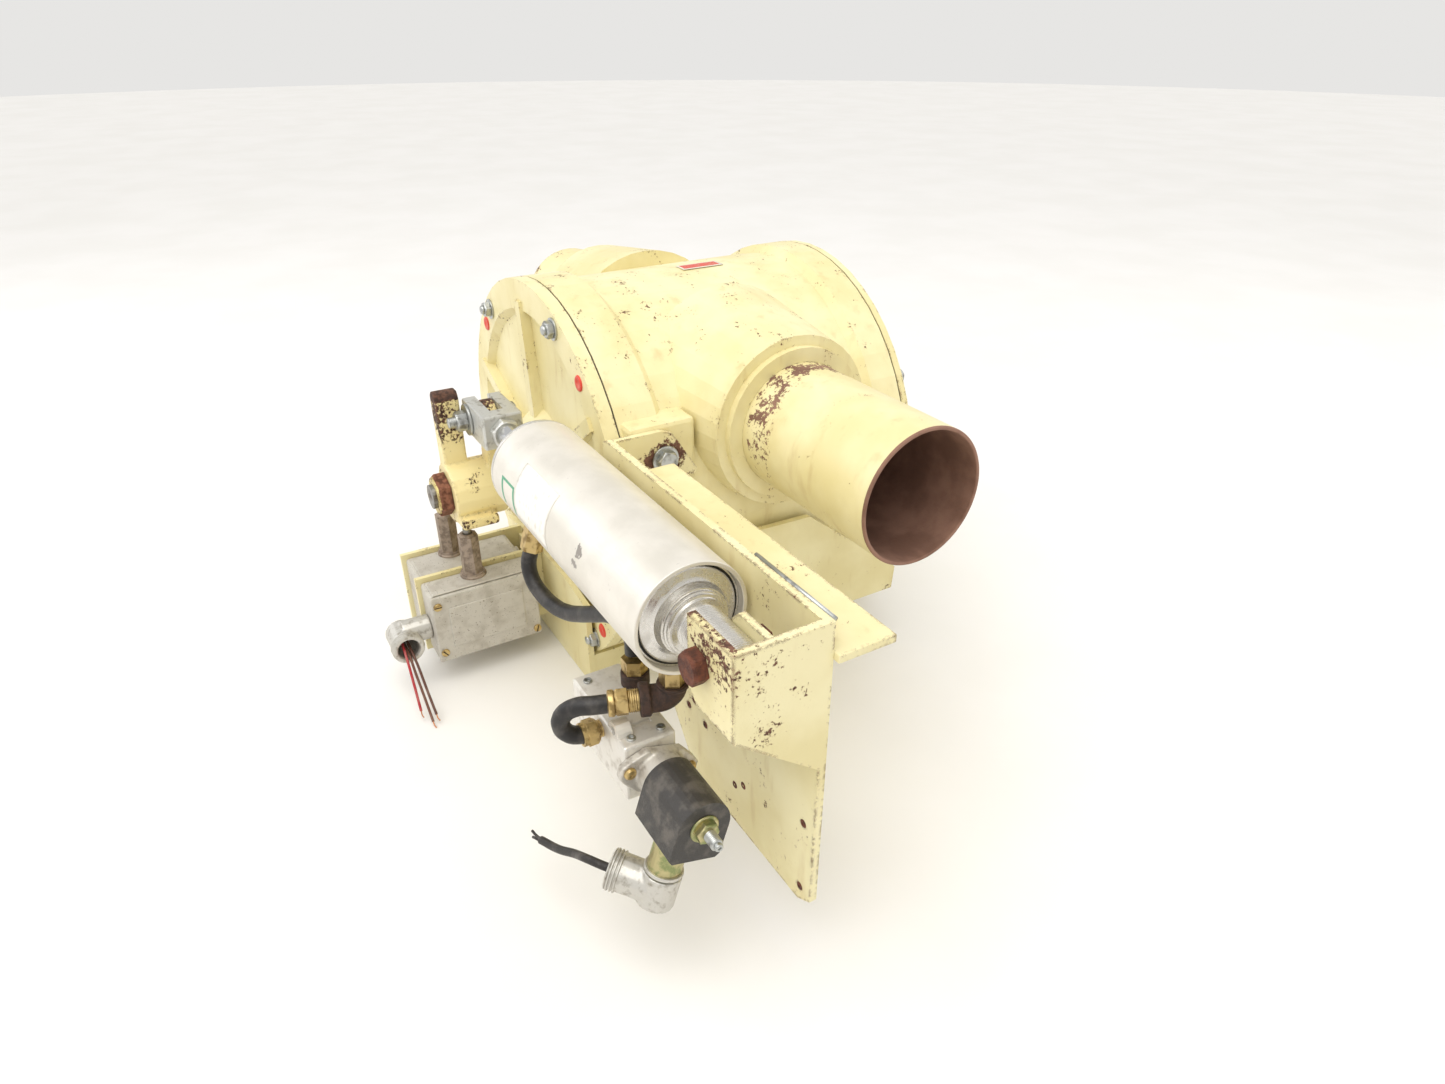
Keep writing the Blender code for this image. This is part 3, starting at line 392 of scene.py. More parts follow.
def hex_head(name, across, height, at, direction, turn):
    """A hexagon nut or head with its outer corners turned off round, as on a lathe."""
    shape = bmesh.new()
    spin = Vector(direction).normalized().to_track_quat("Z", "Y")
    crown = across / 2 * HEAD_CROWN
    rings = []
    for along, turned_off in ((0, False), (height * HEAD_CHAMFER, False), (height, True)):
        ring = []
        for step in range(HEAD_STEPS):
            angle = 2 * math.pi * step / HEAD_STEPS
            flat = across / 2 / math.cos((angle + math.pi / 6) % (math.pi / 3) - math.pi / 6)
            rim = crown if turned_off else flat
            spot = Vector((rim * math.cos(angle + turn), rim * math.sin(angle + turn), along))
            ring.append(shape.verts.new((Vector(at) + spin @ spot) * MM))
        rings.append(ring)
    for low, high in zip(rings, rings[1:]):
        for step in range(HEAD_STEPS):
            after = (step + 1) % HEAD_STEPS
            shape.faces.new([low[step], low[after], high[after], high[step]])
    shape.faces.new(rings[-1])
    shape.faces.new(rings[0])
    return round_off(solid(name, shape, smooth=False), 0.25, 2, 25)


def thread(name, radius, length, pitch, at, direction, end=0.0):
    """A threaded bar as a row of turned grooves, with a chamfered end that bulges by end."""
    profile = [(0, 0), (radius * 0.97, 0)]
    for turn in range(max(2, int(length / pitch))):
        base = turn * pitch
        profile += [(radius - pitch * 0.45, base + pitch * 0.12), (radius, base + pitch * 0.48),
                    (radius, base + pitch * 0.62), (radius - pitch * 0.45, base + pitch * 0.95)]
    profile += [(radius - pitch * 0.6, length), (0, length + end)]
    return lathe(name, profile, at, direction, 48)


zinc = bare_metal("zinc_plated_steel", ZINC, "77756f", 0.34, 9)
cover_paint = enamel("cast_iron_cream_enamel_cover", 0.628, 0.075, None, 31)
repaint("front_cover", cover_paint)
repaint("rear_cover", cover_paint)
red_plastic = soft_plastic("moulded_plastic_red", "d8432f", "e08a78", 0.4)
for face, out, first, label in ((FRONT_FACE, -1, 8, "front"), (REAR_FACE, 1, 30, "rear")):
    for number in range(6):
        angle = math.radians(first + 60 * number)
        x = BOLT_CIRCLE * math.cos(angle)
        z = DRUM_Z + BOLT_CIRCLE * math.sin(angle)
        way = (0, out, 0)
        name = "cover_bolt_%s_%d" % (label, number)
        turned(name + "_washer", [(4.5, 0), (WASHER_R, 0), (WASHER_R, WASHER_T), (4.5, WASHER_T)],
               (x, face, z), way, 40, "root", zinc, edge=0.3)
        head = hex_head(name, HEAD_AF, HEAD_H, (x, face + out * WASHER_T, z), way, number * 0.4)
        dress(head, "root", zinc)
        tip = lathe(name + "_crown", [(0, 0), (4.6, 0), (4.6, 2.4), (3.4, 3.6), (0, 4.1)],
                    (x, face + out * 7.4, z), way, 32)
        dress(tip, "root", zinc)
for number, angle in enumerate((48, 137, -43, -132)):
    x = PLUG_CIRCLE * math.cos(math.radians(angle))
    z = DRUM_Z + PLUG_CIRCLE * math.sin(math.radians(angle))
    plug = lathe("cover_plug_%d" % number, [(0, 0.7), (2.6, 0.7), (3.4, 1.2), (6.4, 1.5), (7.2, 0.7),
                                            (7.2, -1), (0, -4)], (x, FRONT_FACE, z), (0, -1, 0), 40)
    dress(plug, "root", red_plastic)


# ---------------------------------------------------------------- pipe stubs
# Plain ends of 4 in steel pipe, welded into the bosses and painted with the body. The
# bore and the cut end are bare and rusty, and a band next to the boss is worn through.
PIPE_Z = 286
PIPE_START = 178
PIPE_END = 378
PIPE_L = PIPE_END - PIPE_START
PIPE_R = 57.15
BORE_R = 54.1


def pipe_wear(mat, place):
    """Bare bore, bare cut end, and a worn band on the upper front side next to the boss."""
    parts = add(mat, "SeparateXYZ", {0: place})
    rise = sums(mat, "SUBTRACT", parts.outputs["Z"], PIPE_Z)
    square = sums(mat, "ADD", sums(mat, "MULTIPLY", rise, rise),
                  sums(mat, "MULTIPLY", parts.outputs["Y"], parts.outputs["Y"]))
    bore = ramp(mat, sums(mat, "SQRT", square), BORE_R + 1.9, BORE_R + 1.2)
    cut = ramp(mat, parts.outputs["X"], PIPE_END - 2.2, PIPE_END - 1.2)
    along = sums(mat, "ADD", parts.outputs["X"], sums(mat, "MULTIPLY", rise, 0.18))
    band = sums(mat, "MULTIPLY", ramp(mat, along, 212, 222), ramp(mat, along, 262, 238))
    side = sums(mat, "SUBTRACT", rise, sums(mat, "MULTIPLY", parts.outputs["Y"], 0.6))
    patchy = ramp(mat, noise(mat, place, 12, 4), 0.36, 0.62, 0.55, 1.3)
    band = sums(mat, "MULTIPLY", sums(mat, "MULTIPLY", band, patchy), ramp(mat, side, -14, 38, 0, 0.15))
    return sums(mat, "ADD", sums(mat, "ADD", bore, cut), band)


stub = lathe("inlet_pipe_look", [
    (BORE_R, 0), (PIPE_R, 0), (PIPE_R, PIPE_L - 1), (PIPE_R - 0.8, PIPE_L), (BORE_R + 0.6, PIPE_L),
    (BORE_R, PIPE_L - 0.8)], (PIPE_START, 0, PIPE_Z), (1, 0, 0), 144)
stub_paint = enamel("steel_pipe_cream_enamel_rusty_bore", 0.645, 0.04, pipe_wear, 7,
                    rust="7a5a4a", rust_pale="977361", stain=34)
dress(crisp(stub, 0.2), "root", stub_paint, ["inlet_pipe"])
far_paint = enamel("steel_pipe_cream_enamel_far", 0.60, 0.06, None, 17)
repaint("outlet_pipe", far_paint)
repaint("lower_outlet_pipe", far_paint)
weld = lathe("inlet_weld_bead", [(56.4, 203.6), (60.4, 203.8), (60.9, 205.2), (59.4, 207.2), (56.4, 208.4)],
             (0, 0, PIPE_Z), (1, 0, 0), 144)
dress(weld, "root", body_paint)


# ---------------------------------------------------------------- blank label
# A thin printed foil stuck along the top of the barrel, red with a white border,
# with nothing on it.
LABEL_R = 185.5
FOIL_STEPS = 24
FOIL_PARTS = 12


def foil(name, radius, axis_y, axis_z, angles, along, lift, way="Y"):
    """A thin foil wrapped on a drum whose axis lies along way, between two angles in degrees."""
    shape = bmesh.new()
    grid = []
    for step in range(FOIL_STEPS + 1):
        turn = math.radians(angles[0] + (angles[1] - angles[0]) * step / FOIL_STEPS)
        row = []
        for part in range(FOIL_PARTS + 1):
            far = along[0] + (along[1] - along[0]) * part / FOIL_PARTS
            for rim in (radius, radius + lift):
                across, up = rim * math.cos(turn), axis_z + rim * math.sin(turn)
                spot = (across, far, up) if way == "Y" else (far, axis_y + across, up)
                row.append(shape.verts.new(Vector(spot) * MM))
        grid.append(row)
    for low, high in zip(grid, grid[1:]):
        for part in range(FOIL_PARTS):
            near, after = 2 * part, 2 * part + 2
            shape.faces.new([low[near + 1], low[after + 1], high[after + 1], high[near + 1]])
            shape.faces.new([low[near], high[near], high[after], low[after]])
        for end in (0, 2 * FOIL_PARTS):
            shape.faces.new([low[end], low[end + 1], high[end + 1], high[end]])
    for row in (grid[0], grid[-1]):
        for part in range(FOIL_PARTS):
            near, after = 2 * part, 2 * part + 2
            shape.faces.new([row[near], row[after], row[after + 1], row[near + 1]])
    return solid(name, shape)


def printed_foil(name, ground, ink, low, high):
    """Printed foil: ink inside the box low to high in millimetres, rubbed off in specks."""
    mat, shader, place = start(name)
    parts = add(mat, "SeparateXYZ", {0: place})
    inside = 1.0
    for axis, lo, hi in zip("XYZ", low, high):
        value = parts.outputs[axis]
        inside = sums(mat, "MULTIPLY", inside, sums(mat, "GREATER_THAN", value, lo))
        inside = sums(mat, "MULTIPLY", inside, sums(mat, "LESS_THAN", value, hi))
    rub = noise(mat, place, 1.6, 6, rough=0.7)
    inside = sums(mat, "MULTIPLY", inside, ramp(mat, rub, 0.36, 0.40))
    dirt = ramp(mat, noise(mat, place, 6, 5), 0.5, 0.72, 0.0, 0.4)
    return finish_shader(mat, shader, {
        "Base Color": mix(mat, dirt, mix(mat, inside, colour(ground), colour(ink)), colour("a89a78")),
        "Roughness": ramp(mat, rub, 0.3, 0.7, 0.32, 0.5)}, rub, 0.03)


label = foil("barrel_label_blank", LABEL_R, 0, DRUM_Z, (87.2, 92.6), (-2, 44), 0.3)
dress(label, "root", printed_foil("printed_foil_red", "ddd6c4", "cf4634", (-6.5, 0.5, 0), (6.5, 41, 999)))

# ---------------------------------------------------------------- gaskets and bushes
# Pressed fibre gaskets show as a dark line at each cover. Bronze bushes carry the shaft,
# and a nitrile rubber ring seals it.
fibre = soft_plastic("pressed_fibre_gasket", "3a3128", "6e6250", 0.8)
bronze = bare_metal("bronze_bush", "9a7440", "5a4326", 0.4)
seal_rubber = soft_plastic("nitrile_seal", "1c1b1a", "5c5853", 0.55)
for name, mat in (("front_gasket", fibre), ("rear_gasket", fibre), ("front_bush", bronze),
                  ("rear_bush", bronze), ("shaft_seal", seal_rubber)):
    repaint(name, mat)

# ---------------------------------------------------------------- rotor and crank lever
# The lever is a rough iron casting pinched on the shaft. Its paint has gone along the
# rim and the top of the arm, which are dark with rust, and the big shaft nut with it.
turned_steel = bare_metal("turned_steel_shaft", "8d8a84", "5d4a3c", 0.38, 10, (0.45, 0.65))
shoe_iron = bare_metal("cast_iron_worn_shoe", "5a514a", "3a2a22", 0.6, 14, metal=0.7)
repaint("rotor_shaft", turned_steel)
repaint("diverter_shoe", shoe_iron)


def lever_wear(mat, place):
    """Bare at the top of the arm and round the foot, where it is handled and struck."""
    height = add(mat, "SeparateXYZ", {0: place}).outputs["Z"]
    top = ramp(mat, height, 236, 276, 0, 0.125)
    crown = ramp(mat, height, 286, 294, 0, 0.3)
    return sums(mat, "ADD", sums(mat, "ADD", top, crown), ramp(mat, height, 186, 168, 0, 0.05))


def rusty(name, dark="4a2a20", mid="70402d", pale="96654c", grain=1.6):
    """Brown iron oxide, pitted all over, with paler powder in patches."""
    mat, shader, place = start(name)
    cloud = noise(mat, place, 6, 5)
    pits = noise(mat, place, grain, 5, rough=0.7)
    base = mix(mat, ramp(mat, cloud, 0.36, 0.6), colour(dark), colour(mid))
    base = mix(mat, ramp(mat, pits, 0.55, 0.72, 0, 0.7), base, colour(pale))
    return finish_shader(mat, shader, {
        "Base Color": base, "Metallic": 0.25,
        "Roughness": ramp(mat, pits, 0.3, 0.7, 0.55, 0.8)}, pits, 0.25)


cast_skin(nodes["crank_lever"], 1.2, 5)
repaint("crank_lever", enamel("cast_iron_yellow_enamel_lever", 0.605, 0.14, lever_wear, 53,
                              "f0e0a6", "e2ce8d", "3c2a22", "6b4a3a"))
rust_steel = rusty("rusty_forged_steel")


def span(name):
    """Lowest and highest corner of a CAD node, in millimetres."""
    low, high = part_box(name)
    return Vector(low) * 1000, Vector(high) * 1000


def nut_wear(mat, place):
    """The nut keeps paint only on its outer face."""
    depth = add(mat, "SeparateXYZ", {0: place}).outputs["Y"]
    return ramp(mat, depth, nut_low.y + 0.6, nut_low.y + 2.5, 0, 0.4)


nut_low, nut_high = span("shaft_nut")
shaft_nut = hex_head("shaft_nut_look", 38, nut_high.y - nut_low.y, (0, nut_high.y, DRUM_Z), (0, -1, 0), 0.15)
nut_paint = enamel("forged_steel_nut_worn_enamel", 0.56, 0.1, nut_wear, 71, "e0cf86", "c8b268",
                   "54301f", "8a5a44")
dress(round_off(shaft_nut, 0.8, 3, 25), "rotor", nut_paint, ["shaft_nut"])

# ---------------------------------------------------------------- rod clevis
# Milled from zinc-plated square bar and slotted. A bolt through its jaws carries the
# lever's eye, with a wide washer and a nut at the front, and a jam nut locks the rod.
CYL_Y = -219
CYL_Z = 272
PIN_X = 15
EYE_PIN_R = 5.4
dull_zinc = bare_metal("zinc_plate_dulled", "cfcfca", "9a968d", 0.42, 7, (0.5, 0.7), fine=1.2, metal=0.8)
repaint("rod_clevis", dull_zinc)
round_off(nodes["rod_clevis"], 0.9, 2, 50)
repaint("clevis_pin", zinc)
repaint("piston_rod", bare_metal("hard_chrome_rod", "c9cacb", "8f8f8e", 0.12, 20, (0.6, 0.8)))
repaint("piston", bare_metal("turned_aluminium_piston", "b5b3ad", "8d8a84", 0.4))
washer_low, washer_high = span("clevis_washer")
turned("clevis_washer_look", [(EYE_PIN_R, 0), (15, 0), (15, 2.3), (EYE_PIN_R, 2.3)],
       (PIN_X, washer_high.y, CYL_Z), (0, -1, 0), 72, "rod", zinc, ["clevis_washer"], edge=0.5)
nut = hex_head("clevis_nut_look", 17, 10, (PIN_X, washer_low.y - 0.2, CYL_Z), (0, -1, 0), 0.5)
dress(nut, "rod", zinc, ["clevis_nut"])
bolt_end = thread("clevis_bolt_end", 5.0, 8.4, 1.4, (PIN_X, washer_low.y - 8.6, CYL_Z), (0, -1, 0), 0.6)
dress(bolt_end, "rod", zinc)
jam_low, jam_high = span("rod_jam_nut")
jam = hex_head("rod_jam_nut_look", 24, 9, (jam_low.x, CYL_Y, CYL_Z), (1, 0, 0), 0.2)
dress(jam, "rod", dull_zinc, ["rod_jam_nut"])
rod_thread = thread("rod_end_thread", 8.6, 12, 1.5, (jam_high.x, CYL_Y, CYL_Z), (1, 0, 0))
dress(rod_thread, "rod", dull_zinc)

# ---------------------------------------------------------------- air cylinder
# A drawn aluminium tube, anodised silver, with turned end caps held by a black snap
# ring. The tail cap runs out in a threaded stud with two flats, drilled for the pivot.
TUBE_R = 41.2
TUBE_BORE_R = 38.1
CAP_R = 37.8
THREAD_R = 16.5
THREAD_ROOT = 15.6
PITCH = 1.9
FLAT_START = 437
FLAT_HALF = 12
TUBE_START = 150
TUBE_END = 412
STUD_END = 478


def away_from(mat, place, spot):
    """Distance in millimetres from a spot."""
    return add(mat, "VectorMath", {0: place, 1: spot}, operation="DISTANCE").outputs["Value"]


def anodised(name):
    """Silver anodised tube, satin along its length, with two dark knocks and fine scuffs."""
    mat, shader, place = start(name)
    drawn = noise(mat, place, 0.9, 2, (0.04, 1, 1))
    cloud = noise(mat, place, 45, 4)
    scuff = ramp(mat, noise(mat, place, 2.6, 6, (1, 0.4, 0.4), 0.7), 0.66, 0.70, 0, 0.35)
    knocks = 0.0
    for x, angle, size in ((322, 157, 4.6), (319, 172, 3.6)):
        turn = math.radians(angle)
        spot = (x, CYL_Y + TUBE_R * math.cos(turn), CYL_Z + TUBE_R * math.sin(turn))
        away = sums(mat, "ADD", away_from(mat, place, spot),
                    ramp(mat, noise(mat, place, 3, 3), 0.3, 0.7, -2.2, 2.2))
        knocks = sums(mat, "MAXIMUM", knocks, ramp(mat, away, size, size - 0.5, 0, 0.8))
    wear = sums(mat, "MAXIMUM", knocks, scuff)
    base = mix(mat, ramp(mat, cloud, 0.35, 0.65), colour("e8e3d9"), colour("dcd7cc"))
    return finish_shader(mat, shader, {
        "Base Color": mix(mat, wear, base, colour("7f7771")),
        "Metallic": 0.5,
        "Roughness": ramp(mat, drawn, 0.3, 0.7, 0.36, 0.46)}, drawn, 0.012)


tube = lathe("cylinder_tube_look", [
    (TUBE_BORE_R, 0), (TUBE_R, 0), (TUBE_R, TUBE_END - TUBE_START), (TUBE_BORE_R, TUBE_END - TUBE_START)],
             (TUBE_START, CYL_Y, CYL_Z), (1, 0, 0), 160)
dress(crisp(tube, 0.7, 3), "cylinder", anodised("anodised_aluminium_tube"), ["cylinder_tube"])
machined = bare_metal("machined_aluminium_cap", "d8d5cf", "bab6ae", 0.26, 30, (0.55, 0.8),
                      (1, 0.12, 0.12), 0.006, metal=0.85)
face_groove = [(16, -5), (17, -1.5), (30, -1), (33, -4.5)]
turned("cylinder_front_cap_look", [(10.4, -5), *face_groove, (40.4, -5), (TUBE_R, -4.2), (TUBE_R, -0.5),
       (CAP_R, -0.3), (CAP_R, 29), (10.4, 29)], (TUBE_START, CYL_Y, CYL_Z), (1, 0, 0), 120, "cylinder",
       machined, ["cylinder_front_cap"])
tail = [(0, -38), (CAP_R, -38), (CAP_R, -6.2), (36.6, -6.2), (36.6, -8.6), (34.9, -8.6), (34.9, -5.6),
        (33.6, -4.8), (29, -4.2), (26.2, -2.6), (24.8, 0.5), (24.2, 3.0), (23.2, 3.2), (23.0, 5.2),
        (22.0, 5.6), (21.8, 7.2), (20.2, 7.6), (19.8, 9.4), (16.8, 9.8)]
groove = 10.4
while groove < STUD_END - TUBE_END - PITCH:
    tail += [(THREAD_ROOT, groove), (THREAD_R, groove + 0.7), (THREAD_R, groove + 1.1),
             (THREAD_ROOT, groove + 1.75)]
    groove += PITCH
tail += [(15.2, STUD_END - TUBE_END), (0, STUD_END - TUBE_END)]
tail_cap = lathe("cylinder_tail_cap_look", tail, (TUBE_END, CYL_Y, CYL_Z), (1, 0, 0), 120)
for vert in tail_cap.data.vertices:
    if vert.co.x > FLAT_START * MM:
        across = vert.co.y / MM - CYL_Y
        vert.co.y = (CYL_Y + max(-FLAT_HALF, min(FLAT_HALF, across))) * MM
dress(crisp(tail_cap, 0.2, 2, 30), "cylinder", machined, ["cylinder_tail_cap"])
turned("cylinder_snap_ring", [(35.0, -7.8), (37.4, -7.8), (37.4, -6.6), (35.0, -6.6)],
       (TUBE_END, CYL_Y, CYL_Z), (1, 0, 0), 120, "cylinder", seal_rubber, edge=0.2)
wrap = foil("cylinder_label_blank", TUBE_R + 0.05, CYL_Y, CYL_Z, (131, 193), (201, 266), 0.25, "X")
white_print = printed_foil("printed_foil_white", "e9e5dc", "f0ede6", (203, -999, 0), (264, 0, 999))
dress(wrap, "cylinder", white_print)
green_ink = soft_plastic("printed_ink_green", "5fa382", "9fc0ae", 0.5)
for number, (angles, along) in enumerate((((163, 166), (172, 199)), ((166, 196), (172, 175)),
                                          ((166, 196), (196.5, 199.5)))):
    mark = foil("cylinder_mark_%d" % number, TUBE_R + 0.05, CYL_Y, CYL_Z, angles, along, 0.12, "X")
    dress(mark, "cylinder", green_ink)

# ---------------------------------------------------------------- actuator bracket
# Welded 6 mm sheet: a long web off the drum, an end plate with a return flange that
# carries the tail pivot, and an ear bolted to the drum. All painted after welding.
WEB_FACE = -174
BOLT_Y = -120
BOLT_Z = 271
PIVOT_X = 455
PIVOT_FACE = -238.2


def bracket_wear(mat, place):
    """Chipped through most over the pivot, at the end corner, and round the ear's bolt."""
    top = ramp(mat, away_from(mat, place, (466, -238, 292)), 56, 8, 0, 0.085)
    end = ramp(mat, away_from(mat, place, (490, -236, 262)), 58, 8, 0, 0.1)
    ear = ramp(mat, away_from(mat, place, (186, BOLT_Y, BOLT_Z)), 24, 13, 0, 0.16)
    return sums(mat, "MAXIMUM", sums(mat, "MAXIMUM", top, end), ear)


sheet_paint = enamel("sheet_steel_cream_enamel_bracket", 0.622, 0.115, bracket_wear, 91, "ece2b4", "e0d39e")
plate_paint = enamel("sheet_steel_cream_enamel_plate", 0.64, 0.06, None, 113, "ebe1b2", "dfd29c")
for name in ("actuator_bracket", "inner_clevis_plate", "shelf_strip"):
    repaint(name, sheet_paint)
    round_off(nodes[name], 0.8, 2, 50)
for name in ("mount_plate", "base_cradle", "switch_bracket"):
    repaint(name, plate_paint)
    round_off(nodes[name], 0.8, 2, 50)
_, bolt_high = span("bracket_bolt")
turned("bracket_bolt_washer", [(5, 0), (12.5, 0), (12.5, 2), (5, 2)], (bolt_high.x - 8.7, BOLT_Y, BOLT_Z),
       (1, 0, 0), 56, "root", zinc, ["bracket_bolt"], edge=0.4)
dress(hex_head("bracket_bolt_head", 17, 6.4, (bolt_high.x - 6.7, BOLT_Y, BOLT_Z), (1, 0, 0), 0.3), "root",
      zinc)
trim = lathe("shelf_zinc_strip", [(0, 0), (1.7, 0), (1.7, 86), (0, 86)],
             (403, -166.2, 299.2), (1, 0, 0), 24)
dress(trim, "root", zinc)

# Tapped holes in the web, closed by the rusty ends of set screws.
for number, (x, z) in enumerate(((321, 120), (330, 131), (347, 118), (480, 130), (480, 69), (392, 92),
                                 (404, 101), (372, 150))):
    screw = lathe("web_set_screw_%d" % number, [(0, -4), (3.1, -4), (3.1, 0.1), (2.5, 0.5), (1.2, 0.5),
                                                (1.1, -0.9), (0, -0.9)], (x, WEB_FACE, z), (0, -1, 0), 32)
    dress(screw, "root", rust_steel)
head = hex_head("tail_pivot_head", 21, 9.5, (PIVOT_X, PIVOT_FACE, CYL_Z), (0, -1, 0), 0.35)
dress(round_off(head, 0.9, 3, 25), "root", rust_steel)
repaint("tail_pivot_bolt", rust_steel)
repaint("tail_pivot_nut", rust_steel)


# ---------------------------------------------------------------- limit switches
# Two die-cast switch boxes in worn grey enamel. The front one's cover has a raised field
# and four slotted brass screws. Each plunger slides in a hexagonal steel guide.
COVER_FACE = 35
BOX_TOP = 103
GUIDE_TOP = 150


def grey_cast(name):
    """Grey enamel on a rough die casting, rubbed pale at the edges and grimy in patches."""
    mat, shader, place = start(name)
    grime = ramp(mat, noise(mat, place, 17, 5), 0.42, 0.68, 0.0, 0.6)
    sand = noise(mat, place, 0.9, 4)
    specks = ramp(mat, noise(mat, place, 2.2, 5, rough=0.7), 0.62, 0.64, 0, 0.8)
    rubbed = sums(mat, "MULTIPLY", rubbed_edge(mat, 2.5, 0.99, 0.86), ramp(mat, sand, 0.35, 0.6, 0, 0.6))
    base = mix(mat, grime, colour("c4bfb4"), colour("a49c8e"))
    base = mix(mat, specks, base, colour("6a5f4e"))
    return finish_shader(mat, shader, {
        "Base Color": mix(mat, rubbed, base, colour("cfccc2")), "Metallic": 0.25,
        "Roughness": ramp(mat, sand, 0.3, 0.7, 0.48, 0.64)}, sand, 0.09)


def slotted_screw(name, radius, at, direction, slot_angle):
    """A slotted brass cheese-head screw. The slot is not cut; a dark bar on the head shows it, as painted
    shade of the recess together with packed grime.
    """
    head = lathe(name, [(0, -1.5), (radius, -1.5), (radius, 1.0), (radius - 0.5, 1.5), (0, 1.5)],
                 at, direction, 40)
    dress(crisp(head, 0.2), "root", brass)
    spin = Vector(direction).normalized().to_track_quat("Z", "Y")
    shape = bmesh.new()
    bmesh.ops.create_cube(shape, size=1.0)
    bmesh.ops.scale(shape, vec=Vector((radius * 1.86, radius * 0.30, 0.5)) * MM, verts=shape.verts)
    bmesh.ops.bevel(shape, geom=shape.edges, offset=0.06 * MM, segments=1, affect="EDGES")
    for vert in shape.verts:
        x, y = vert.co.x, vert.co.y
        spot = Vector((x * math.cos(slot_angle) - y * math.sin(slot_angle),
                       x * math.sin(slot_angle) + y * math.cos(slot_angle), vert.co.z + 1.32 * MM))
        vert.co = Vector(at) * MM + spin @ spot
    mesh = bpy.data.meshes.new(name + "_slot")
    shape.to_mesh(mesh)
    shape.free()
    groove = bpy.data.objects.new(name + "_slot", mesh)
    bpy.context.collection.objects.link(groove)
    dress(groove, "root", slot_shade_and_grime)


grey_box = grey_cast("die_cast_grey_enamel")
brass = bare_metal("brass_dull", "c9b07a", "8c744b", 0.36, 6, (0.46, 0.66))
# A dark bar on each screw head is painted shade of the uncut slot, with grime.
slot_shade_and_grime = soft_plastic("packed_grime_and_slot_shade", "2c221a", "4a3b2c", 0.85)
for name in ("switch_box_front", "switch_box_rear", "switch_cover_front"):
    repaint(name, grey_box)
for number, (y, z) in enumerate(((-203, 92), (-202, 34), (-300, 38), (-300, 93))):
    slotted_screw("cover_screw_%d" % number, 4.1, (COVER_FACE + 0.6, y, z), (1, 0, 0), 0.4 + number * 0.9)


def panel(name, low, high, bevel):
    """A raised field of the casting between two corners in millimetres, with rounded edges."""
    shape = bmesh.new()
    bmesh.ops.create_cube(shape, size=1.0)
    size = [b - a for a, b in zip(low, high)]
    middle = [(a + b) / 2 for a, b in zip(low, high)]
    bmesh.ops.scale(shape, vec=Vector(size) * MM, verts=shape.verts)
    bmesh.ops.translate(shape, vec=Vector(middle) * MM, verts=shape.verts)
    bmesh.ops.bevel(shape, geom=shape.edges, offset=bevel * MM, segments=3, affect="EDGES", profile=0.5)
    obj = solid(name, shape)
    weights = obj.modifiers.new("face_normals", "WEIGHTED_NORMAL")
    weights.keep_sharp = True
    dress(obj, "root", grey_box)


panel("cover_raised_field", (COVER_FACE - 1, -290, 42), (COVER_FACE + 1, -213, 88), 0.9)
panel("front_box_lid_ridge", (2, -302, BOX_TOP - 1), (30, -201, BOX_TOP + 1.2), 1.0)
panel("rear_box_lid_ridge", (-54, -302, BOX_TOP - 1), (-13, -201, BOX_TOP + 1.2), 1.0)
guide_steel = rusty("dull_steel_brown_film", "7d6e60", "a09080", "b8ab9c", 2.4)
for label, x, y in (("front", 9, -254), ("rear", -46, -261)):
    repaint("plunger_guide_" + label, guide_steel)
    round_off(nodes["plunger_guide_" + label], 0.5, 2, 25)
    repaint("plunger_" + label, turned_steel)
    turned("plunger_collar_" + label, [(9.2, 0), (13.2, 0), (13.2, 2.4), (11.6, 3.6), (9.2, 3.6)],
           (x, y, BOX_TOP + 0.4), (0, 0, 1), 48, "root", guide_steel, edge=0.3)
    turned("plunger_guide_crown_" + label, [(4.6, -1), (8.7, -1), (8.7, 0.4), (7.2, 1.8), (4.6, 2.0)],
           (x, y, GUIDE_TOP), (0, 0, 1), 48, "root", guide_steel, edge=0.3)
turned("rear_box_pivot_boss", [(0, 0), (8.5, 0), (8.5, 3.4), (7.0, 4.2), (3.6, 4.2), (3.2, 3.2), (0, 3.2)],
       (-30, -196.8, 90), (0, 1, 0), 48, "root", grey_box, edge=0.4)


# Conduit elbows are zinc die castings with a rolled lip and a ridged clamp collar.
def conduit_lip(name, at, direction, outer, bore, mat):
    """A ridged collar round the mouth of a conduit fitting."""
    profile = [(bore, -9), (outer - 0.6, -9)]
    for ridge in range(3):
        base = -8.4 + ridge * 2.6
        profile += [(outer - 0.5, base), (outer + 0.9, base + 0.6), (outer + 0.9, base + 1.5),
                    (outer - 0.5, base + 2.1)]
    profile += [(outer + 0.6, -0.4), (outer - 0.8, 0.6), (bore + 0.7, 0.6), (bore, -0.2)]
    lip = lathe(name, profile, at, direction, 72)
    dress(crisp(lip, 0.2, 2, 50), "root", mat)


cast_zinc = bare_metal("die_cast_zinc_elbow", "cbc8c0", "9c9587", 0.44, 6, (0.5, 0.74), fine=1.4,
                       grain_depth=0.08, metal=0.8)
for name in ("switch_elbow", "cable_elbow"):
    cast_skin(nodes[name], 0.9, 4)
    repaint(name, cast_zinc)
conduit_lip("switch_elbow_lip", (34.2, -334, 54), (1, 0, 0), 15.2, 10.9, cast_zinc)

# ---------------------------------------------------------------- solenoid valve
# A milled aluminium valve block and a cast cover with two ears, held by brass screws.
# The coil is moulded in black resin, clamped by a nut, over a yellow chromate nipple.
BLOCK_TOP = 168
EAR_FACE = 398.9
COIL_END = 461
NIPPLE_X = 434
ELBOW_DROP = 72
COIL_Y = -240
COIL_Z = 144
ROLL = math.radians(-18)


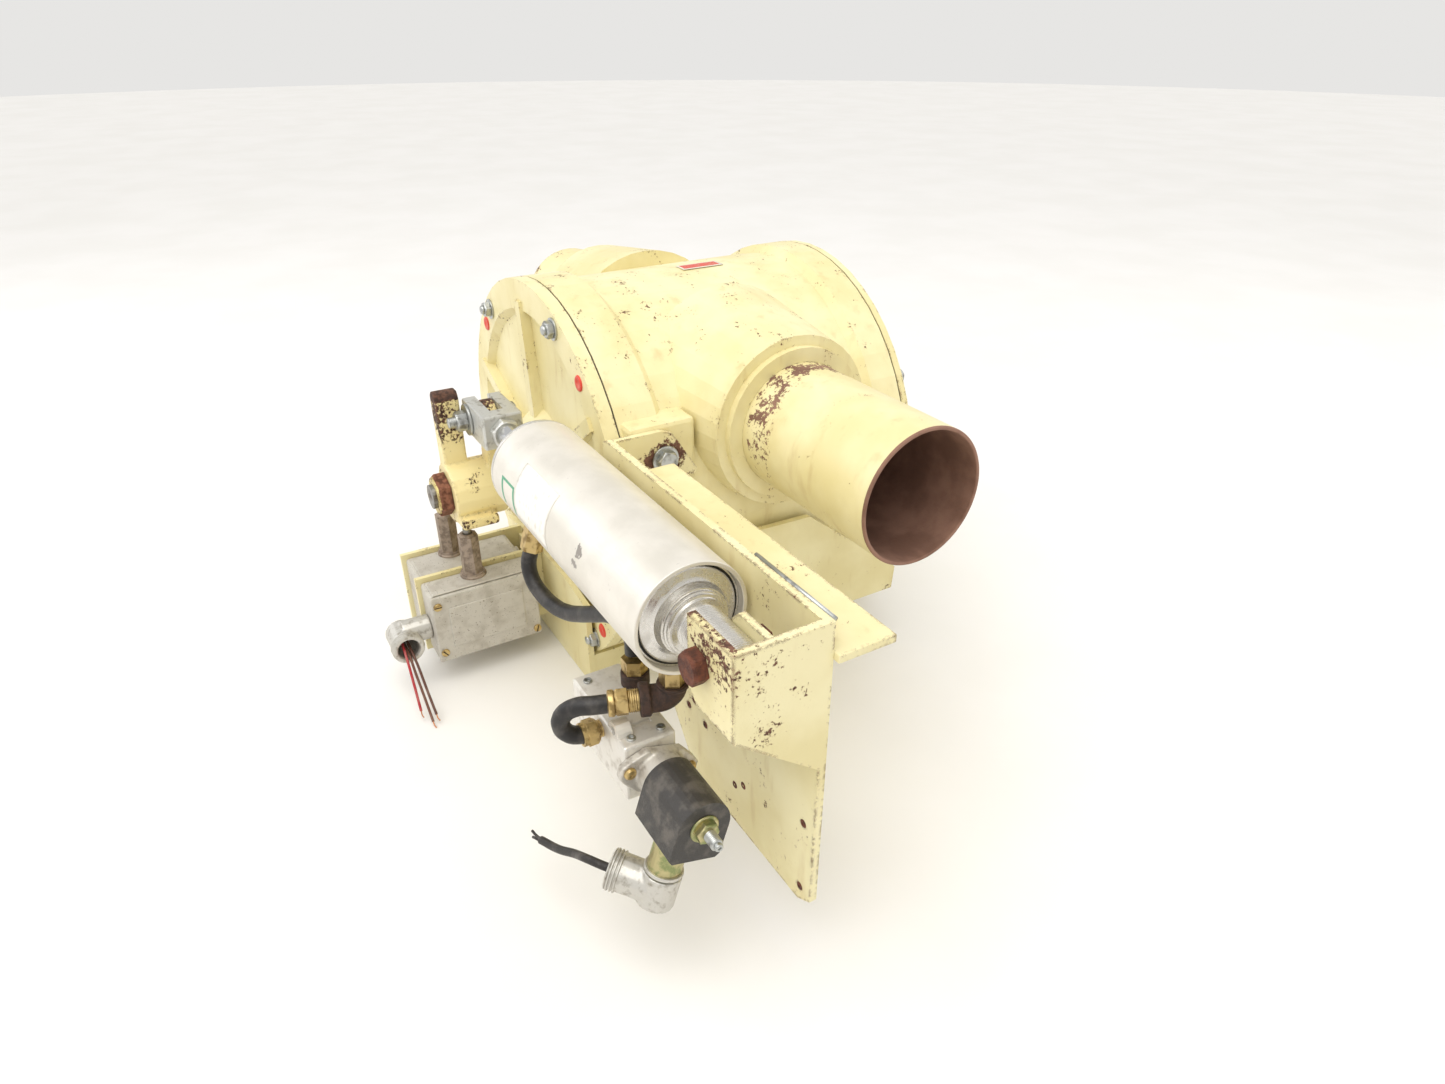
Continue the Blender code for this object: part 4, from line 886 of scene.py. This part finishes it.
def rolled(across, up):
    """Y and Z of a point measured across and up from the axis of the coil, which hangs turned."""
    return (COIL_Y + across * math.cos(ROLL) - up * math.sin(ROLL),
            COIL_Z + across * math.sin(ROLL) + up * math.cos(ROLL))


milled = bare_metal("milled_aluminium_block", "e2ded6", "bdb6aa", 0.42, 12, (0.5, 0.72), (0.1, 1, 1),
                    0.03, 1.1, 0.55)
cast_alu = bare_metal("cast_aluminium_cover", "cfcac0", "a0978a", 0.5, 7, (0.47, 0.7), fine=1.5,
                      grain_depth=0.1, metal=0.6)
repaint("valve_block", milled)
round_off(nodes["valve_block"], 0.5, 2, 60)
cast_skin(nodes["valve_adapter"], 0.9, 3)
repaint("valve_adapter", cast_alu)
for number, side in enumerate((-1, 1)):
    y, z = rolled(24.5 * side, 1)
    turned("adapter_screw_%d" % number, [(0, 0), (4.6, 0), (4.6, 1.4), (3.6, 2.9), (2.0, 3.3), (0.9, 3.3),
           (0.7, 2.2), (0, 2.2)], (EAR_FACE, y, z), (1, 0, 0), 40, "root", brass, edge=0.2)
for number, (x, y) in enumerate(((310, -254), (384, -254), (384, -231))):
    turned("block_cap_screw_%d" % number, [(0, -2), (3.4, -2), (3.4, 1.2), (3.0, 1.7), (1.7, 1.7),
           (1.7, 0.3), (0, 0.3)], (x, y, BLOCK_TOP), (0, 0, 1), 40, "root", zinc, edge=0.2)

resin = soft_plastic("moulded_resin_black", "3b3835", "716a61", 0.46, 1.2)
repaint("coil_housing", resin)
round_off(nodes["coil_housing"], 1.6, 3, 40)
coil_ring = lathe("coil_seat_washer", [(5.2, 0), (10.6, 0), (10.6, 1.0), (9.8, 1.7), (5.2, 1.7)],
                  (COIL_END, COIL_Y, COIL_Z), (1, 0, 0), 56)
chromate = bare_metal("yellow_chromate_steel", "bfb588", "8f9a6a", 0.36, 8, (0.42, 0.62))
dress(crisp(coil_ring, 0.3), "root", chromate, ["coil_stem"])
coil_nut = hex_head("coil_clamp_nut", 15, 5.2, (COIL_END + 1.6, COIL_Y, COIL_Z), (1, 0, 0), 0.25)
dress(coil_nut, "root", chromate)
stem = thread("coil_stem_look", 4.5, 10.5, 1.3, (COIL_END + 6.6, COIL_Y, COIL_Z), (1, 0, 0))
dress(stem, "root", zinc)
turned("coil_stem_tip", [(0, -1), (3.0, -1), (3.0, 2.4), (2.4, 3.2), (1.3, 3.2), (1.2, 1.6), (0, 1.6)],
       (COIL_END + 17, COIL_Y, COIL_Z), (1, 0, 0), 40, "root", zinc, edge=0.2)
repaint("conduit_nipple", chromate)
for number, (drop, finish) in enumerate(((-29.2, chromate), (-55.6, cast_zinc))):
    y, z = rolled(0, drop)
    turned("nipple_collar_%d" % number, [(12.2, -1.4), (14.0, -1.4), (14.4, 0), (14.0, 1.4), (12.2, 1.4)],
           (NIPPLE_X, y, z), (0, math.sin(-ROLL), math.cos(ROLL)), 64, "root", finish, edge=0.3)
CABLE_WAY = Vector((-0.695, -0.684, 0.222)).normalized()
mouth = Vector((NIPPLE_X, *rolled(0, -ELBOW_DROP))) + CABLE_WAY * 36
conduit_lip("cable_elbow_lip", mouth, CABLE_WAY, 14.2, 10.4, cast_zinc)
turned("cable_gland_seal", [(3.5, -4), (10.2, -4), (10.2, -1.6), (3.5, -1.2)], mouth, CABLE_WAY, 48, "root",
       seal_rubber, edge=0.2)

# ---------------------------------------------------------------- air lines
# Black malleable-iron street elbows and brass hose nuts, and two short stiff rubber
# hoses pushed over barbs. Brass mufflers hang under the block with a green seal.
HOSE_R = 6.75
ELBOW_STEPS = 48
BLOCK_BASE = 120
ROD_HOSE = [(165, -240.2, 205.5), (165.5, -243.5, 194), (171, -244, 182), (184, -242, 174), (205, -239, 172),
            (228, -236, 177), (252, -233, 188), (276, -230, 201), (300, -227, 213), (318, -225, 216),
            (328.5, -224, 209), (330, -224, 196)]
NOZZLE = Vector((-math.sin(math.radians(20)), -math.cos(math.radians(20)), 0))
ELBOW = Vector((382, CYL_Y, 190))
BLOCK_PORT = Vector((352, -276.4, 158))
begin = ELBOW + NOZZLE * 46.4
TAIL_HOSE = [begin, begin + NOZZLE * 10, (357, -281.5, 188.6), (351.5, -289.5, 181.5), (349.5, -291.6, 171.5),
             (350.4, -287.4, 162.8), (351.6, -280, 158.8), BLOCK_PORT + Vector((0, 5, 0))]
hose_rubber = soft_plastic("air_hose_rubber_black", "232120", "57524d", 0.44, 0.8)


def hose(name, points):
    """A hose whose curve is turned into a smooth-shaded mesh in hose rubber."""
    curve_obj, _ = strand(name, points, HOSE_R)
    curve_obj.data.resolution_u = 10
    bpy.context.view_layer.update()
    mesh = bpy.data.meshes.new_from_object(curve_obj)
    bpy.data.objects.remove(curve_obj, do_unlink=True)
    for face in mesh.polygons:
        face.use_smooth = True
    obj = bpy.data.objects.new(name + "_look", mesh)
    bpy.context.collection.objects.link(obj)
    obj.data.materials.clear()
    obj.data.materials.append(hose_rubber)
    return obj


rod_hose = hose("hose_rod_line", ROD_HOSE)
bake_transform(rod_hose)
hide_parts("hose_rod_line")
tail_hose = hose("hose_tail_line", TAIL_HOSE)
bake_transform(tail_hose)
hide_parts("hose_tail_line")

iron = rusty("malleable_iron_black_brown", "352923", "4b372e", "6f5545", 1.4)
repaint("elbow_rod_line", iron)
cast_skin(nodes["elbow_rod_line"], 0.8, 3)


def street_elbow(name, route, radius, bands):
    """A cast pipe elbow: a bent barrel of that radius with raised bands at distances along it."""
    shape = bmesh.new()
    rings = []
    travelled = 0.0
    for number, point in enumerate(route):
        after = route[min(number + 1, len(route) - 1)]
        before = route[max(number - 1, 0)]
        travelled += (point - before).length
        swell = max([size for low, high, size in bands if low <= travelled <= high] + [0.0])
        spin = (after - before).to_track_quat("Z", "Y")
        ring = []
        for step in range(ELBOW_STEPS):
            turn = 2 * math.pi * step / ELBOW_STEPS
            spot = Vector((math.cos(turn), math.sin(turn), 0)) * (radius + swell)
            ring.append(shape.verts.new((point + spin @ spot) * MM))
        rings.append(ring)
    for low, high in zip(rings, rings[1:]):
        offset = min(range(ELBOW_STEPS), key=lambda shift: (high[shift].co - low[0].co).length)
        for step in range(ELBOW_STEPS):
            after = (step + 1) % ELBOW_STEPS
            shape.faces.new([low[step], low[after], high[(after + offset) % ELBOW_STEPS],
                             high[(step + offset) % ELBOW_STEPS]])
    shape.faces.new(rings[0])
    shape.faces.new(rings[-1])
    elbow = solid(name, shape)
    cast_skin(elbow, 0.7, 4)
    return elbow


BEND = 11.0
bend_route = [ELBOW + Vector((0, 0, 13.0 - step)) for step in range(3)]
corner = ELBOW + Vector((0, 0, BEND)) + NOZZLE * BEND
for step in range(13):
    turn = math.pi / 2 * step / 12
    bend_route.append(corner - NOZZLE * BEND * math.cos(turn) - Vector((0, 0, BEND)) * math.sin(turn))
bend_route += [ELBOW + NOZZLE * (BEND + step) for step in range(1, 14)]
elbow = street_elbow("elbow_tail_line_look", bend_route, 10.2, [(0, 2.2, 1.6), (25, 34, 2.2)])
dress(elbow, "cylinder", iron, ["elbow_tail_line"])
nut_start = ELBOW + NOZZLE * 24.3
barb = thread("hose_nipple_thread", 8.4, 8.6, 1.5, nut_start, NOZZLE)
dress(barb, "cylinder", brass)
nut_body = hex_head("hose_nut_tail_line_look", 17.5, 9.2, nut_start + NOZZLE * 8.0, NOZZLE, 0.3)
dress(nut_body, "cylinder", brass, ["hose_nut_tail_line"])
turned("hose_ferrule_tail", [(HOSE_R, 0), (9.3, 0), (9.6, 1.2), (9.3, 4.2), (8.4, 4.6), (HOSE_R, 4.6)],
       nut_start + NOZZLE * 17.2, NOZZLE, 56, "cylinder", brass, edge=0.3)
for name in ("rod_end_fitting", "tail_bushing", "hose_nut_rod_line"):
    repaint(name, brass)
    round_off(nodes[name], 0.5, 2, 25)
gland_nut = hex_head("block_hose_nut", 17.5, 9, BLOCK_PORT + Vector((0, 1, 0)), (0, 1, 0), 0.2)
dress(gland_nut, "root", brass)
turned("block_hose_collar", [(HOSE_R, -2.4), (8.8, -2.4), (8.8, 1.2), (HOSE_R, 1.2)], BLOCK_PORT,
       (0, 1, 0), 48, "root", brass, edge=0.3)
gland_stub = thread("block_hose_stub", 6.6, 4.2, 1.3, BLOCK_PORT + Vector((0, 9.6, 0)), (0, 1, 0))
dress(gland_stub, "root", brass)
for number, (x, y) in enumerate(((319, -243), (365, -243))):
    body = lathe("exhaust_muffler_%d" % number, [
        (0, 0), (6.4, 0), (6.4, -3), (8.6, -3.4), (8.6, -11), (7.2, -12), (4.6, -12.6), (4.2, -22),
        (3.4, -24.6), (1.4, -25), (1.2, -22), (0, -22)], (x, y, BLOCK_BASE), (0, 0, 1), 48)
    dress(crisp(body, 0.3, 2, 40), "root", brass)
green_seal = soft_plastic("seal_ring_green", "2f7a5c", "6a9a84", 0.45)
under_block = (347, -243, BLOCK_BASE)
turned("block_base_plug", [(0, 0.2), (9.6, 0.2), (9.6, -6.8), (8.6, -7.8), (0, -7.8)], under_block,
       (0, 0, 1), 56, "root", milled, edge=0.4)
seal = lathe("block_base_seal", [(9.0, -8), (10.4, -8.4), (10.6, -9.8), (9.8, -11), (8.0, -11)],
             under_block, (0, 0, 1), 56)
dress(seal, "root", green_seal)
turned("block_base_cap", [(0, -10.8), (9.4, -10.8), (9.2, -16), (7.6, -17.6), (0, -18)], under_block,
       (0, 0, 1), 56, "root", milled, edge=0.4)


# ---------------------------------------------------------------- floor and light
# A white painted bench under wide daylight from the roof. A ceiling light from the front
# and two weaker ones from the left and behind give the metal its highlights.
floor = lathe("bench_top", [(0, 0), (9000, 0)], (0, 0, -0.3), (0, 0, 1), 64, False)
bench, shader, place = start("painted_bench_white")
cloud = noise(bench, place, 260, 5)
finish_shader(bench, shader, {
    "Base Color": mix(bench, ramp(bench, cloud, 0.3, 0.7), colour("efedea"), colour("ebe9e5")),
    "Roughness": 0.55})
floor.data.materials.append(bench)
world = bpy.data.worlds.new("soft_hall_light")
world.use_nodes = True
world.node_tree.nodes["Background"].inputs["Color"].default_value = colour("e9e8e6")
world.node_tree.nodes["Background"].inputs["Strength"].default_value = 0.98
bpy.context.scene.world = world
for name, at, target, size, power, tint in (
        ("ceiling_light", (0.5, -0.7, 1.9), (0.1, -0.1, 0.2), 1.6, 12, "fffcf7"),
        ("window_light", (-1.3, -1.6, 1.2), (0, -0.1, 0.2), 1.4, 8, "f6f9ff"),
        ("back_light", (0.6, 1.7, 1.5), (0.1, 0, 0.2), 1.2, 6, "ffffff")):
    light = bpy.data.lights.new(name, "AREA")
    light.size = size
    light.energy = power
    light.color = colour(tint)[:3]
    lamp = bpy.data.objects.new(name, light)
    lamp.location = at
    lamp.rotation_euler = (Vector(target) - Vector(at)).to_track_quat("-Z", "Y").to_euler()
    bpy.context.collection.objects.link(lamp)
daylight = bpy.data.objects.new("roof_daylight", bpy.data.lights.new("roof_daylight", "SUN"))
daylight.data.energy = 1.0
daylight.data.angle = math.radians(70)
daylight.rotation_euler = (math.radians(24), math.radians(14), 0)
bpy.context.collection.objects.link(daylight)
bpy.context.scene.view_settings.view_transform = "Standard"
